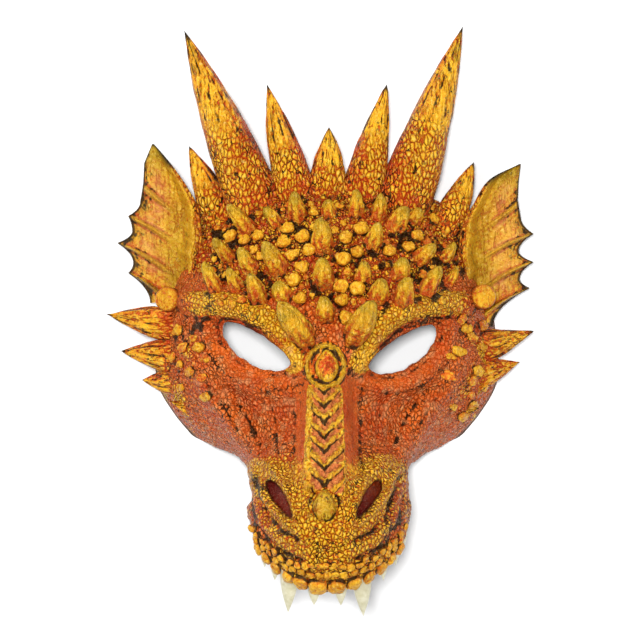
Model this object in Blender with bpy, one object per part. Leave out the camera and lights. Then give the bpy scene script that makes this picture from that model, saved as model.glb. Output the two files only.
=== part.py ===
# A dragon half mask, moulded in one piece of polyurethane foam with an open back.
# It lies on its back rim: X is across the face, Y runs from the lip up to the horns,
# and Z is up from the table to the snout. Its origin is the middle of its footprint.
#
# The free form is drawn in the pixels of a 640 x 640 front view, as (column, row, depth),
# with the depth in millimetres above the table. place() turns that drawing into metres.

import math

import bpy
import numpy as np
from mathutils import Vector
from mathutils.bvhtree import BVHTree

# Driving dimensions, in metres
MASK_HEIGHT = 0.322
MASK_DEPTH = 0.118
WALL = 0.005
EAR_THICKNESS = 0.004
EAR_RIM_HEIGHT = 0.0035
EAR_RIB_HEIGHT = 0.002
DISC_DIAMETER = 0.013
DISC_HEIGHT = 0.0145
EYE_LENGTH = 0.0425
EYE_UPPER = 0.0054
EYE_LOWER = 0.0114
NOSTRIL_LENGTH = 0.026
NOSTRIL_WIDTH = 0.0070
NOSTRIL_DEPTH = 0.007
NOSTRIL_LIP = 0.0016
NOSE_PLATE_WIDTH = 0.0235  # at its lower end
NOSE_PLATE_TOP_WIDTH = 0.0190
NOSE_PLATE_HEIGHT = 0.0022
CHEVRON_HEIGHT = 0.0012
CHEVRON_BAR = 0.003
KNOB_HEIGHT = 0.0035
LIP_PLATE_LENGTH = 0.0112
LIP_PLATE_HEIGHT = 0.0024
FANG_LENGTH = 0.0215
FANG_WIDTH = 0.0118
TOOTH_LENGTH = 0.0105
TOOTH_WIDTH = 0.0075
TOOTH_THICKNESS = 0.75  # share of its width
ROOT_DEPTH = 0.0025  # how far a spike, a knob or a tooth is rooted in the wall

# The drawing's frame
DRAWN_HEIGHT = 586
DRAWN_DEPTH = 118
MIDDLE_COLUMN = 327
MIDDLE_ROW = 320
REFERENCE_DEPTH = 40
VIEW_DISTANCE = 1.5

PIXEL = MASK_HEIGHT / DRAWN_HEIGHT
DEPTH_UNIT = MASK_DEPTH / DRAWN_DEPTH
BELOW_TABLE = 6

# How finely the solid is drawn
FACE_COLUMNS = 26
FACE_ROWS = 26
SPIKE_SIDES = 6
HORN_SIDES = 8

# The face's cage: one row for each level from the top rim to the lip, and in each row seven points
# from the middle line out to the side rim, as (columns from the middle, row, depth).
FACE_CAGE = [
    [(0, 182, -6), (22, 182, -6), (45, 184, -6), (72, 191, -6), (98, 201, -6), (118, 213, -6), (130, 232, -6)],
    [(0, 177, 16), (22, 177, 16), (45, 179, 15), (73, 187, 14), (101, 198, 12), (123, 213, 9), (138, 245, -6)],
    [(0, 196, 32), (22, 196, 32), (46, 198, 30), (74, 205, 27), (102, 216, 22), (127, 231, 14), (147, 262, -6)],
    [(0, 232, 50), (23, 232, 50), (47, 234, 48), (76, 238, 43), (107, 246, 34), (136, 258, 21), (157, 284, -6)],
    [(0, 272, 62), (23, 272, 62), (48, 273, 60), (78, 275, 54), (110, 279, 44), (143, 287, 27), (166, 304, -6)],
    [(0, 308, 70), (23, 309, 69), (48, 306, 66), (78, 303, 60), (112, 304, 49), (148, 311, 30), (171, 325, -6)],
    [(0, 335, 74), (22, 338, 72), (44, 338, 65), (76, 330, 58), (110, 325, 49), (150, 333, 31), (173, 345, -6)],
    [(0, 365, 78), (20, 366, 74), (40, 362, 61), (76, 350, 53), (113, 346, 45), (151, 352, 31), (175, 363, -6)],
    [(0, 400, 86), (20, 400, 80), (40, 394, 63), (73, 384, 54), (112, 378, 46), (151, 375, 30), (174, 381, -6)],
    [(0, 440, 96), (22, 440, 89), (43, 434, 68), (69, 422, 55), (104, 412, 44), (145, 399, 26), (168, 396, -6)],
    [(0, 478, 105), (24, 478, 101), (48, 470, 84), (70, 456, 60), (94, 441, 41), (134, 422, 21), (158, 411, -6)],
    [(0, 510, 113), (27, 509, 110), (55, 500, 94), (76, 481, 68), (84, 457, 41), (124, 435, 16), (153, 419, -6)],
    [(0, 545, 116), (29, 543, 112), (59, 530, 96), (80, 505, 71), (83, 463, 38), (118, 442, 13), (150, 424, -6)],
    [(0, 575, 108), (31, 571, 104), (60, 553, 90), (81, 523, 68), (82, 466, 35), (115, 445, 11), (148, 428, -6)],
    [(0, 591, 97), (30, 586, 94), (58, 565, 82), (78, 532, 64), (80, 470, 33), (112, 447, 9), (146, 431, -6)],
]

SNOUT_LEVEL = 10  # the snout's first row of the cage
LEFT_SNOUT = 0.93  # the left side of the snout is a little narrower

# Ridges and furrows of one side of the face: a line of (columns from the middle, row), then
# half its width in pixels and its height in millimetres.
FOLDS = {
    "brow": ([(136, 303), (108, 303), (80, 308), (58, 322), (42, 340), (34, 362)], 13, 7.0),
    "lower lid": ([(122, 326), (116, 352), (98, 376), (70, 388), (40, 388)], 10, 4.0),
    "cheek fold": ([(134, 352), (118, 388), (94, 420), (78, 446)], 12, 4.0),
    "cheek furrow": ([(98, 394), (80, 412), (66, 440)], 8, -2.6),
    "nose furrow": ([(34, 386), (35, 420), (38, 452), (42, 474)], 8, -2.6),
    "lip fold": ([(76, 506), (66, 530), (44, 552), (16, 562)], 8, 2.0),
}

# Horns: root (column, row, depth), tip (column, row, depth), width and thickness at the root in pixels
HORNS = [
    ((257, 208, 20), (184, 30, 26), 57, 48),
    ((402, 206, 20), (463, 26, 26), 57, 48),
    ((297, 198, 22), (267, 84, 27), 42, 36),
    ((362, 196, 22), (387, 84, 27), 43, 36),
    ((328, 196, 24), (329, 127, 27), 42, 32),
    ((220, 218, 16), (189, 146, 18), 36, 30),
    ((446, 227, 16), (474, 162, 18), 36, 30),
]

# Cheek spikes, drawn like the horns
CHEEK_SPIKES = [
    ((170, 325, 20), (106, 314, 15), 38, 27),
    ((172, 356, 20), (121, 351, 14), 37, 25),
    ((175, 382, 17), (142, 380, 12), 30, 22),
    ((193, 410, 20), (170, 401, 23), 16, 14),
    ((482, 348, 20), (534, 331, 15), 35, 27),
    ((476, 375, 19), (520, 362, 14), 33, 25),
    ((470, 391, 22), (490, 382, 22), 18, 15),
    ((450, 414, 25), (479, 408, 20), 20, 17),
]

# Thorns of the forehead: root (column, row), tip (column, row) and width in pixels
THORNS = [
    ((250, 231), (227, 204), 16),
    ((278, 224), (264, 207), 14),
    ((298, 218), (294, 191), 17),
    ((230, 259), (213, 238), 14),
    ((252, 270), (239, 247), 17),
    ((279, 270), (264, 241), 20),
    ((323, 249), (320, 217), 21),
    ((324, 284), (321, 257), 20),
    ((216, 289), (203, 262), 15),
    ((237, 288), (228, 268), 14),
    ((259, 299), (249, 273), 18),
    ((284, 298), (276, 281), 19),
    ((308, 343), (278, 301), 22),
    ((326, 317), (323, 296), 18),
    ((356, 214), (356, 189), 15),
    ((378, 217), (381, 193), 15),
    ((395, 227), (407, 206), 20),
    ((413, 221), (421, 208), 14),
    ((329, 214), (328, 199), 14),
    ((372, 245), (379, 222), 16),
    ((418, 260), (436, 244), 16),
    ((363, 278), (365, 261), 16),
    ((400, 276), (403, 257), 19),
    ((427, 291), (441, 266), 18),
    ((378, 298), (382, 278), 19),
    ((403, 301), (409, 277), 19),
    ((352, 342), (374, 300), 22),
    ((444, 260), (455, 242), 12),
    ((450, 282), (457, 267), 10),
]

# Round knobs between the thorns: (column, row), diameter in pixels
KNOBS = [
    ((288, 230), 13), ((285, 243), 13), ((303, 238), 14), ((309, 251), 13), ((293, 256), 12),
    ((302, 268), 13), ((294, 281), 13), ((259, 237), 11), ((232, 238), 13),
    ((246, 241), 11), ((300, 299), 11), ((314, 214), 10), ((361, 230), 14), ((346, 239), 13),
    ((357, 253), 12), ((343, 260), 14), ((341, 287), 14), ((357, 289), 15), ((342, 301), 12),
    ((407, 248), 12), ((416, 237), 12), ((388, 252), 12), ((433, 221), 11), ((201, 347), 11),
    ((345, 318), 13),
]

# The ears' outlines: pairs of points across the ear, from its root up to its tip, each the inner
# edge (column, row), the outer edge (column, row) and True where a rib ends in a point
LEFT_EAR = [
    ((192, 300), (150, 303), False),
    ((197, 286), (128, 273), True),
    ((199, 272), (133, 263), False),
    ((201, 256), (117, 243), True),
    ((202, 240), (132, 231), False),
    ((201, 224), (128, 216), True),
    ((197, 205), (140, 202), False),
    ((186, 185), (143, 184), False),
    ((171, 164), (144, 163), False),
    ((154, 144), (152, 144), False),
]
RIGHT_EAR = [
    ((462, 312), (494, 326), False),
    ((462, 300), (530, 288), True),
    ((461, 284), (520, 279), False),
    ((460, 268), (534, 262), True),
    ((459, 254), (519, 251), False),
    ((460, 238), (534, 234), True),
    ((463, 222), (521, 217), False),
    ((473, 205), (518, 201), False),
    ((489, 180), (519, 181), False),
    ((519, 164), (521, 164), False),
]
THORN_FULLNESS = 1.12
THORN_TAPER = 2.3
LEAF_WIDTH = 22  # thorns as wide as this are leaf-shaped
LEAF_TAPER = 2.6
THORN_RISE = 0.45
EAR_LANES = 9  # points across the ear
# Depth of the ear's front across it, from its inner edge to its outer edge
EAR_PROFILE = [(0.0, 25), (0.12, 26), (0.3, 13), (0.55, 15), (0.8, 16), (1.0, 12)]
EAR_RISE = 3  # how much nearer its tip is than its root

EYE_PLACES = [(257, 344), (402, 347)]
EYE_TILT = math.radians(31.7)
NOSTRIL_PLACES = [(280, 500), (369, 499)]
NOSTRIL_TILT = math.radians(58)
DISC_PLACES = [(172, 300), (479, 298)]

NOSE_PLATE_TOP = 388
NOSE_PLATE_END = 499
CHEVRONS = 8
CHEVRON_DROP = 15  # from the ends of its arms down to its point, in pixels
NOSE_RING_PLACE = (328, 366)
NOSE_RING_RADII = (18, 21)
NOSE_DROP_SIZE = (20, 30, 5)  # width and length in pixels, height in millimetres
NOSE_BOSS_PLACE = (324, 507)
NOSE_BOSS_SIZE = (24, 28, 5)

LIP_PLATES = 12
LIP_REACH = 0.46  # how far along the lip, from the middle to the cheek, the plates run
FANG_PLACES = (-0.245, 0.212)
TEETH_PLACES = (-0.42, -0.34, -0.08, 0.08, 0.34, 0.43, 0.5, 0.62)


def place(column, row, depth):
    # A point of the drawing in metres. The view is from VIEW_DISTANCE, so what is nearer is drawn larger.
    height = depth * DEPTH_UNIT
    nearness = 1 - (height - REFERENCE_DEPTH * DEPTH_UNIT) / VIEW_DISTANCE
    return Vector(
        (
            (column - MIDDLE_COLUMN) * PIXEL * nearness,
            (MIDDLE_ROW - row) * PIXEL * nearness,
            height,
        )
    )


def spline_weights(shares, count):
    # How much each of `count` points counts at each share (0 to 1) of a Catmull-Rom curve through them
    weights = np.zeros((len(shares), count))
    for line, share in enumerate(shares):
        reach = share * (count - 1)
        first = min(int(reach), count - 2)
        t = reach - first
        parts = (
            -0.5 * t + t * t - 0.5 * t**3,
            1 - 2.5 * t * t + 1.5 * t**3,
            0.5 * t + 2 * t * t - 1.5 * t**3,
            -0.5 * t * t + 0.5 * t**3,
        )
        for offset, part in enumerate(parts):
            index = first - 1 + offset
            if index < 0:
                weights[line, 0] += 2 * part
                weights[line, 1] -= part
            elif index >= count:
                weights[line, count - 1] += 2 * part
                weights[line, count - 2] -= part
            else:
                weights[line, index] += part
    return weights


def grid_normals(points):
    # Outward normals of a grid of points, whose rows run down the face and columns across it
    across = np.gradient(points, axis=1)
    down = np.gradient(points, axis=0)
    normals = np.cross(down, across)
    return normals / np.linalg.norm(normals, axis=2, keepdims=True)


def line_distance(columns, rows, line):
    # Distance in pixels from each point to a broken line
    nearest = np.full(columns.shape, np.inf)
    for (x0, y0), (x1, y1) in zip(line, line[1:]):
        dx, dy = x1 - x0, y1 - y0
        along = ((columns - x0) * dx + (rows - y0) * dy) / (dx * dx + dy * dy)
        along = np.clip(along, 0, 1)
        nearest = np.minimum(nearest, np.hypot(columns - x0 - along * dx, rows - y0 - along * dy))
    return nearest


def drawn_face(row_shares, column_shares):
    # The face's base surface as drawn: columns from the middle, rows and depths
    cage = np.array(FACE_CAGE, float)
    left = cage[:, :0:-1] * (-1, 1, 1)
    left[SNOUT_LEVEL:, 2:, 0] *= LEFT_SNOUT
    whole = np.concatenate([left, cage], axis=1)
    down = spline_weights(row_shares, whole.shape[0])
    across = spline_weights((np.asarray(column_shares) + 1) / 2, whole.shape[1])
    return np.einsum("ri,ijk,cj->rck", down, whole, across)


def in_metres(drawn):
    height = drawn[..., 2] * DEPTH_UNIT
    nearness = 1 - (height - REFERENCE_DEPTH * DEPTH_UNIT) / VIEW_DISTANCE
    return np.stack(
        [drawn[..., 0] * PIXEL * nearness, (MIDDLE_ROW - drawn[..., 1]) * PIXEL * nearness, height],
        axis=-1,
    )


def fold_relief(drawn):
    # How far the folds of the face stand out of its base surface, in metres
    columns, rows = np.abs(drawn[..., 0]), drawn[..., 1]
    relief = np.zeros(columns.shape)
    for line, half_width, height in FOLDS.values():
        reach = line_distance(columns, rows, line) / half_width
        relief += height * np.exp(-(reach**2)) * DEPTH_UNIT
    return relief


def face_surface(row_shares, column_shares):
    # The face's outer surface, the surface inside the wall, and the normals of both. The inside follows
    # the furrows of the outside and not its ridges.
    drawn = drawn_face(row_shares, column_shares)
    base = in_metres(drawn)
    normals = grid_normals(base)
    relief = fold_relief(drawn)[..., None] * np.clip(drawn[..., 2:] / 20, 0, 1)
    outer = base + normals * relief
    inner = base + normals * (np.minimum(relief, 0) - WALL)
    return outer, inner, normals


def grid_faces(rows, columns, offset=0):
    index = offset + np.arange(rows * columns).reshape(rows, columns)
    corners = [index[:-1, :-1], index[:-1, 1:], index[1:, 1:], index[1:, :-1]]
    return np.stack(corners, axis=-1).reshape(-1, 4).tolist()


def rim_loop(rows, columns, offset=0):
    # The indices round a grid's edge, starting at its first corner
    index = offset + np.arange(rows * columns).reshape(rows, columns)
    return [
        *index[0, :-1].tolist(),
        *index[:-1, -1].tolist(),
        *index[-1, :0:-1].tolist(),
        *index[:0:-1, 0].tolist(),
    ]


def face_shell():
    # The face as a closed shell of the wall's thickness. Its inside has half as many rows and columns.
    rows, columns = FACE_ROWS + 1, FACE_COLUMNS + 1
    row_shares = np.linspace(0, 1, rows)
    column_shares = np.linspace(-1, 1, columns)
    outer, inner, _ = face_surface(row_shares, column_shares)
    inner = inner[::2, ::2]
    inner_rows, inner_columns = inner.shape[:2]
    points = np.concatenate([outer.reshape(-1, 3), inner.reshape(-1, 3)])
    faces = [face[::-1] for face in grid_faces(rows, columns)]
    faces += grid_faces(inner_rows, inner_columns, rows * columns)
    outer_loop = rim_loop(rows, columns)
    inner_loop = rim_loop(inner_rows, inner_columns, rows * columns)
    for step, near in enumerate(inner_loop):
        far = inner_loop[(step + 1) % len(inner_loop)]
        first, second = outer_loop[2 * step], outer_loop[2 * step + 1]
        third = outer_loop[(2 * step + 2) % len(outer_loop)]
        faces += [(first, second, near), (second, far, near), (second, third, far)]
    return points.tolist(), faces


class Skin:
    # The outer surface of the face, which everything on it is placed by
    def __init__(self):
        rows, columns = 2 * FACE_ROWS + 1, 2 * FACE_COLUMNS + 1
        self.outer, _, _ = face_surface(np.linspace(0, 1, rows), np.linspace(-1, 1, columns))
        faces = [face[::-1] for face in grid_faces(rows, columns)]
        self.tree = BVHTree.FromPolygons(self.outer.reshape(-1, 3).tolist(), faces)

    def under(self, column, row):
        # Where the line of sight through a pixel meets the face, and the normal there
        eye = place(MIDDLE_COLUMN, MIDDLE_ROW, REFERENCE_DEPTH) + Vector((0, 0, VIEW_DISTANCE))
        sight = (place(column, row, REFERENCE_DEPTH) - eye).normalized()
        point, normal, _, _ = self.tree.ray_cast(eye, sight)
        if point is None:
            point, normal, _, _ = self.tree.find_nearest(place(column, row, 0))
        return point, normal if normal.z > 0 else -normal

    def rooted(self, point):
        # The nearest point of the skin, sunk into the wall
        near, normal, _, _ = self.tree.find_nearest(point)
        outward = normal if normal.dot(near - Vector((0, 0.01, 0))) > 0 else -normal
        return near - outward * ROOT_DEPTH

    def on_lip(self, column_share, rows_up=0.0):
        # A point of the lip, its outward normal, and the way along the lip towards +X
        shares = [column_share - 0.01, column_share, column_share + 0.01]
        rows = [1 - rows_up - 0.01, 1 - rows_up]
        outer, _, normals = face_surface(rows, shares)
        along = Vector(outer[1, 2] - outer[1, 0]).normalized()
        down = Vector(outer[1, 1] - outer[0, 1]).normalized()
        return Vector(outer[1, 1]), Vector(normals[1, 1]), along, down


def spike(root, normal, tip, flat, width, thickness, sides, rings, taper, bow=0.0, skin=None):
    # A horn, thorn or tooth. Its thickness is measured along `flat`. Its root ring lies in the wall, on the
    # skin where one is given, and each further ring turns towards the way the spike points.
    # `taper` is 1 for a cone and more for a blunt leaf.
    length = (tip - root).length
    middle = (root + tip) / 2 + flat * bow * length
    side = (tip - root).cross(flat).normalized()
    centres = [root - normal * ROOT_DEPTH]
    points = []
    for ring in range(rings):
        share = ring / rings
        centre = root * (1 - share) ** 2 + middle * 2 * share * (1 - share) + tip * share**2
        ahead = ((middle - root) * (1 - share) + (tip - middle) * share).normalized()
        facing = normal.lerp(ahead, min(1, 0.35 + 1.6 * share)).normalized()
        if ring == 0:
            centre, facing = centres[0], normal
        up = side.cross(facing).normalized()
        size = 1 - share**taper
        for step in range(sides):
            turn = 2 * math.pi * step / sides
            point = (
                centre
                + side * math.cos(turn) * width / 2 * size
                + up * math.sin(turn) * thickness / 2 * size
            )
            if ring == 0 and skin:
                point = skin.rooted(point)
            points.append(point)
    if skin:
        centres = [skin.rooted(root)]
    tube_points, faces = closed_tube(points, sides, rings, tip)
    last = len(tube_points)
    faces = faces[1:] + [[(step + 1) % sides, step, last] for step in range(sides)]
    return tube_points + [tuple(centres[0])], faces


def closed_tube(points, sides, rings, tip):
    # Faces of a tube of rings, closed flat at its root and to a point at its tip
    faces = [list(range(sides))[::-1]]
    for ring in range(rings - 1):
        for step in range(sides):
            near, far = ring * sides + step, ring * sides + (step + 1) % sides
            faces.append([near, far, far + sides, near + sides])
    last = (rings - 1) * sides
    faces += [[last + step, last + (step + 1) % sides, rings * sides] for step in range(sides)]
    return [tuple(point) for point in points] + [tuple(tip)], faces


def knob(centre, normal, along, length, width, height, sides=6):
    # A low dome on the skin, rooted in the wall
    across = normal.cross(along).normalized()
    along = across.cross(normal).normalized()
    points = []
    for lift, size in ((-ROOT_DEPTH, 1.0), (0.55 * height, 0.86)):
        for step in range(sides):
            turn = 2 * math.pi * step / sides
            points.append(
                centre
                + normal * lift
                + along * math.cos(turn) * length / 2 * size
                + across * math.sin(turn) * width / 2 * size
            )
    return closed_tube(points, sides, 2, centre + normal * height)


def disc(centre, normal, diameter, height, sides=12):
    # A flat round boss with an eased edge
    along = normal.orthogonal().normalized()
    across = normal.cross(along)
    points = []
    for lift, size in ((-ROOT_DEPTH, 1.0), (0.75 * height, 1.0), (height, 0.88)):
        for step in range(sides):
            turn = 2 * math.pi * step / sides
            points.append(
                centre
                + normal * lift
                + (along * math.cos(turn) + across * math.sin(turn)) * diameter / 2 * size
            )
    return closed_tube(points, sides, 3, centre + normal * height * 1.02)


def drawn_spikes(skin, table, sides, rings, taper):
    # Horns and cheek spikes, whose roots are drawn near the rim
    made = []
    for root, tip, width, thickness in table:
        start, end = place(*root), place(*tip)
        near, normal, _, _ = skin.tree.find_nearest(start)
        ahead = (end - start).normalized()
        if normal.dot(ahead) < 0:
            normal = -normal
        facing = normal.lerp(ahead, 0.5).normalized()
        size = (width * PIXEL, thickness * PIXEL)
        made.append(spike(start, facing, end, Vector((0, 0, 1)), *size, sides, rings, taper, 0.03, skin))
    return made


def thorns(skin):
    # Each thorn leaves the skin at its root and rises over it as it points to its drawn tip
    made = []
    for root, tip, width in THORNS:
        start, normal = skin.under(*root)
        width = THORN_FULLNESS * width
        rise = THORN_RISE * math.dist(root, tip) * PIXEL
        taper = LEAF_TAPER if width >= THORN_FULLNESS * LEAF_WIDTH else THORN_TAPER
        end = place(*tip, (start.z + rise) / DEPTH_UNIT)
        made.append(
            spike(
                start, normal, end, normal, width * PIXEL, 0.9 * width * PIXEL, SPIKE_SIDES, 3, taper, 0.16, skin
            )
        )
    return made


def knobs(skin):
    made = []
    for spot, diameter in KNOBS:
        centre, normal = skin.under(*spot)
        size = diameter * PIXEL
        made.append(knob(centre, normal, Vector((1, 0, 0)), size, size, KNOB_HEIGHT))
    return made


def ear_profile(share):
    # Depth of the ear's front at a share of its breadth
    for (start, low), (end, high) in zip(EAR_PROFILE, EAR_PROFILE[1:]):
        if share <= end:
            ease = (share - start) / (end - start)
            ease = ease * ease * (3 - 2 * ease)
            return low + (high - low) * ease
    return EAR_PROFILE[-1][1]


def ear(outline):
    # A fluted fin of the ear's thickness: ribs run across it to the points of its outer edge,
    # and a raised rim follows its inner edge
    front = []
    last = len(outline) - 1
    for line, (inner, outer, ribbed) in enumerate(outline):
        for lane in range(EAR_LANES):
            share = lane / (EAR_LANES - 1)
            column = inner[0] + (outer[0] - inner[0]) * share
            row = inner[1] + (outer[1] - inner[1]) * share
            narrow = 1 - line / last
            depth = 14 + (ear_profile(share) - 14) * narrow**0.5 + EAR_RISE * line / last
            spot = place(column, row, depth)
            if ribbed:
                spot.z += EAR_RIB_HEIGHT * math.sin(math.pi * min(1, share * 1.1))
            if lane == 1 and line < last:
                spot.z += EAR_RIM_HEIGHT * narrow
            front.append(spot)
    back = [spot - Vector((0, 0, EAR_THICKNESS)) for spot in front]
    rows = len(outline)
    faces = [face[::-1] for face in grid_faces(rows, EAR_LANES)]
    faces += grid_faces(rows, EAR_LANES, rows * EAR_LANES)
    loop = rim_loop(rows, EAR_LANES)
    for step, near in enumerate(loop):
        far = loop[(step + 1) % len(loop)]
        faces.append([near, far, far + rows * EAR_LANES, near + rows * EAR_LANES])
    if outline[0][0][0] > outline[0][1][0]:
        faces = [face[::-1] for face in faces]
    return [tuple(spot) for spot in front + back], faces


def nose_plate(skin):
    # The raised strip down the nose, with a bar for each arm of its chevrons
    stations = np.linspace(NOSE_PLATE_TOP, NOSE_PLATE_END, 9)
    points = []
    for row in stations:
        centre, normal = skin.under(MIDDLE_COLUMN, row)
        centre.x = 0
        half = nose_plate_width(row) / 2
        low = normal * -ROOT_DEPTH
        high = normal * NOSE_PLATE_HEIGHT
        for shift, lift in ((-half, 2 * low), (-half, high), (half, high), (half, 2 * low)):
            points.append(tuple(centre + Vector((shift, 0, 0)) + lift))
    faces = [[3, 2, 1, 0], [len(points) - 4 + corner for corner in range(4)]]
    for step in range(len(stations) - 1):
        for corner in range(4):
            near, far = 4 * step + corner, 4 * step + (corner + 1) % 4
            faces.append([near, far, far + 4, near + 4])
    faces = [face[::-1] for face in faces]
    made = [(points, faces)]
    spacing = (NOSE_PLATE_END - NOSE_PLATE_TOP - CHEVRON_DROP) / CHEVRONS
    for count in range(CHEVRONS):
        top = NOSE_PLATE_TOP + (count + 0.3) * spacing
        for side in (-1, 1):
            made.append(chevron_arm(skin, side, top))
    return made


def nose_plate_width(row):
    # The strip widens as it comes down to the nostrils
    share = (row - NOSE_PLATE_TOP) / (NOSE_PLATE_END - NOSE_PLATE_TOP)
    return NOSE_PLATE_TOP_WIDTH + (NOSE_PLATE_WIDTH - NOSE_PLATE_TOP_WIDTH) * share


def chevron_arm(skin, side, top):
    # One arm of a chevron, from the plate's edge down to the middle, crossing its mate there
    reach = 0.92 * nose_plate_width(top) / 2
    bar = CHEVRON_BAR / 2
    corners = []
    for share in (-0.08, 1.0):
        row = top + CHEVRON_DROP * (1 - share)
        centre, normal = skin.under(MIDDLE_COLUMN, row)
        centre.x = side * reach * share
        base = centre + normal * (NOSE_PLATE_HEIGHT - 0.001)
        crest = centre + normal * (NOSE_PLATE_HEIGHT + CHEVRON_HEIGHT)
        ahead = Vector((0, bar, 0))
        corners += [base - ahead, base + ahead, crest + ahead * 0.4, crest - ahead * 0.4]
    faces = [[3, 2, 1, 0], [4, 5, 6, 7]]
    faces += [[c, (c + 1) % 4, 4 + (c + 1) % 4, 4 + c] for c in range(4)]
    if side > 0:
        faces = [face[::-1] for face in faces]
    return [tuple(corner) for corner in corners], [face[::-1] for face in faces]


def nose_ring(skin, steps=16, sides=5, thickness=3.2):
    # The oval ring between the brows
    points = []
    for step in range(steps):
        turn = 2 * math.pi * step / steps
        column = NOSE_RING_PLACE[0] + NOSE_RING_RADII[0] * math.cos(turn)
        row = NOSE_RING_PLACE[1] + NOSE_RING_RADII[1] * math.sin(turn)
        centre, normal = skin.under(column, row)
        outward = Vector((math.cos(turn), -math.sin(turn), 0))
        for side in range(sides):
            angle = 2 * math.pi * side / sides
            points.append(
                centre
                + normal * math.sin(angle) * thickness * PIXEL
                + outward * math.cos(angle) * thickness * PIXEL
            )
    faces = []
    for step in range(steps):
        for side in range(sides):
            near = step * sides + side
            far = step * sides + (side + 1) % sides
            ahead = (step + 1) % steps * sides - step * sides
            faces.append([near, far, far + ahead, near + ahead])
    return [tuple(point) for point in points], faces


def nose_bosses(skin):
    # The drop inside the ring, and the boss above the lip
    made = []
    for spot, (width, length, height) in (
        (NOSE_RING_PLACE, NOSE_DROP_SIZE),
        (NOSE_BOSS_PLACE, NOSE_BOSS_SIZE),
    ):
        centre, normal = skin.under(*spot)
        made.append(
            knob(centre, normal, Vector((0, 1, 0)), length * PIXEL, width * PIXEL, height * DEPTH_UNIT, 10)
        )
    return made


def ear_discs(skin):
    made = []
    for spot in DISC_PLACES:
        centre, normal = skin.under(*spot)
        facing = normal.lerp(Vector((0, 0, 1)), 0.85).normalized()
        made.append(disc(centre, facing, DISC_DIAMETER, DISC_HEIGHT))
    return made


def lip_plates(skin):
    # A row of squarish scales along the lip, the largest in the middle
    made = []
    for count in range(LIP_PLATES):
        share = -LIP_REACH + 2 * LIP_REACH * count / (LIP_PLATES - 1)
        centre, normal, along, _ = skin.on_lip(share, 0.035)
        size = LIP_PLATE_LENGTH * (1.15 - 0.45 * abs(share))
        made.append(knob(centre, normal, along, size, size, LIP_PLATE_HEIGHT, 6))
    return made


def teeth(skin):
    # Fangs and teeth hang from the inner edge of the lip
    made = []
    for shares, length, width in (
        (FANG_PLACES, FANG_LENGTH, FANG_WIDTH),
        (TEETH_PLACES, TOOTH_LENGTH, TOOTH_WIDTH),
    ):
        for share in shares:
            edge, normal, along, down = skin.on_lip(share)
            root = edge - normal * WALL / 2 - down * ROOT_DEPTH
            hang = (down + Vector((0, -1.5, -0.1))).normalized()
            side_lean = Vector((0.25 * share, 0, 0))
            tip = root + (hang + side_lean) * (length + ROOT_DEPTH)
            made.append(spike(root, hang, tip, normal, width, TOOTH_THICKNESS * width, 6, 3, 1.8))
    return made


def eye_cutters(skin):
    # Almonds that pass right through the wall
    made = []
    for side, spot in zip((-1, 1), EYE_PLACES):
        outline = almond(EYE_LENGTH, EYE_UPPER, EYE_LOWER, side * EYE_TILT, 20)
        middle, _ = skin.under(MIDDLE_COLUMN + side * 74, 385)
        centre = place(*spot, middle.z / DEPTH_UNIT)
        made.append(prism(outline, centre, 0.06, 0.06))
    return made


def almond(length, upper, lower, tilt, steps):
    # Points of an almond, which reaches further below its chord than above it
    points = []
    for step in range(steps):
        turn = 2 * math.pi * step / steps
        x = math.cos(turn) * length / 2
        y = math.sin(turn) * (upper if turn < math.pi else lower)
        points.append(
            (x * math.cos(tilt) - y * math.sin(tilt), x * math.sin(tilt) + y * math.cos(tilt))
        )
    return points


def prism(outline, centre, above, below):
    # An upright prism of an outline
    count = len(outline)
    points = []
    for lift in (-below, above):
        points += [(centre.x + x, centre.y + y, centre.z + lift) for x, y in outline]
    faces = [list(range(count))[::-1], [count + step for step in range(count)]]
    for step in range(count):
        far = (step + 1) % count
        faces.append([step, far, count + far, count + step])
    return points, faces


def nostrils(skin, grow, lip, sides=10, rings=6):
    # Ellipsoids in the snout: the scoop of each nostril, or with `grow` the cup of wall round it,
    # which stands out of the skin no further than its `lip`
    made = []
    for side, spot in zip((-1, 1), NOSTRIL_PLACES):
        centre, normal = skin.under(*spot)
        along = Vector((math.cos(NOSTRIL_TILT), side * math.sin(NOSTRIL_TILT), 0))
        along = (along - normal * along.dot(normal)).normalized()
        across = normal.cross(along)
        radii = (NOSTRIL_LENGTH / 2 + grow, NOSTRIL_WIDTH / 2 + grow, NOSTRIL_DEPTH + grow)
        points = []
        for ring in range(1, rings):
            polar = math.pi * ring / rings
            for step in range(sides):
                turn = 2 * math.pi * step / sides
                points.append(
                    centre
                    + along * radii[0] * math.sin(polar) * math.cos(turn)
                    + across * radii[1] * math.sin(polar) * math.sin(turn)
                    + normal * min(lip, -radii[2] * math.cos(polar))
                )
        top, bottom = centre + normal * min(1.05 * lip, radii[2]), centre - normal * radii[2]
        made.append(closed_ball(points, sides, rings - 1, top, bottom))
    return made


def closed_ball(points, sides, rings, top, bottom):
    # A ball of rings with a point at each end; its first ring is the lowest
    tube_points, faces = closed_tube(points, sides, rings, top)
    faces = faces[1:]
    count = len(tube_points)
    faces += [[(step + 1) % sides, step, count] for step in range(sides)]
    return tube_points + [tuple(bottom)], faces


def facing_out(piece):
    # A closed piece with its faces turned outward
    points, faces = piece
    corners = np.array(points)
    volume = 0.0
    for face in faces:
        for second, third in zip(face[1:], face[2:]):
            volume += np.dot(corners[face[0]], np.cross(corners[second], corners[third]))
    if volume < 0:
        faces = [face[::-1] for face in faces]
    return points, faces


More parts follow.
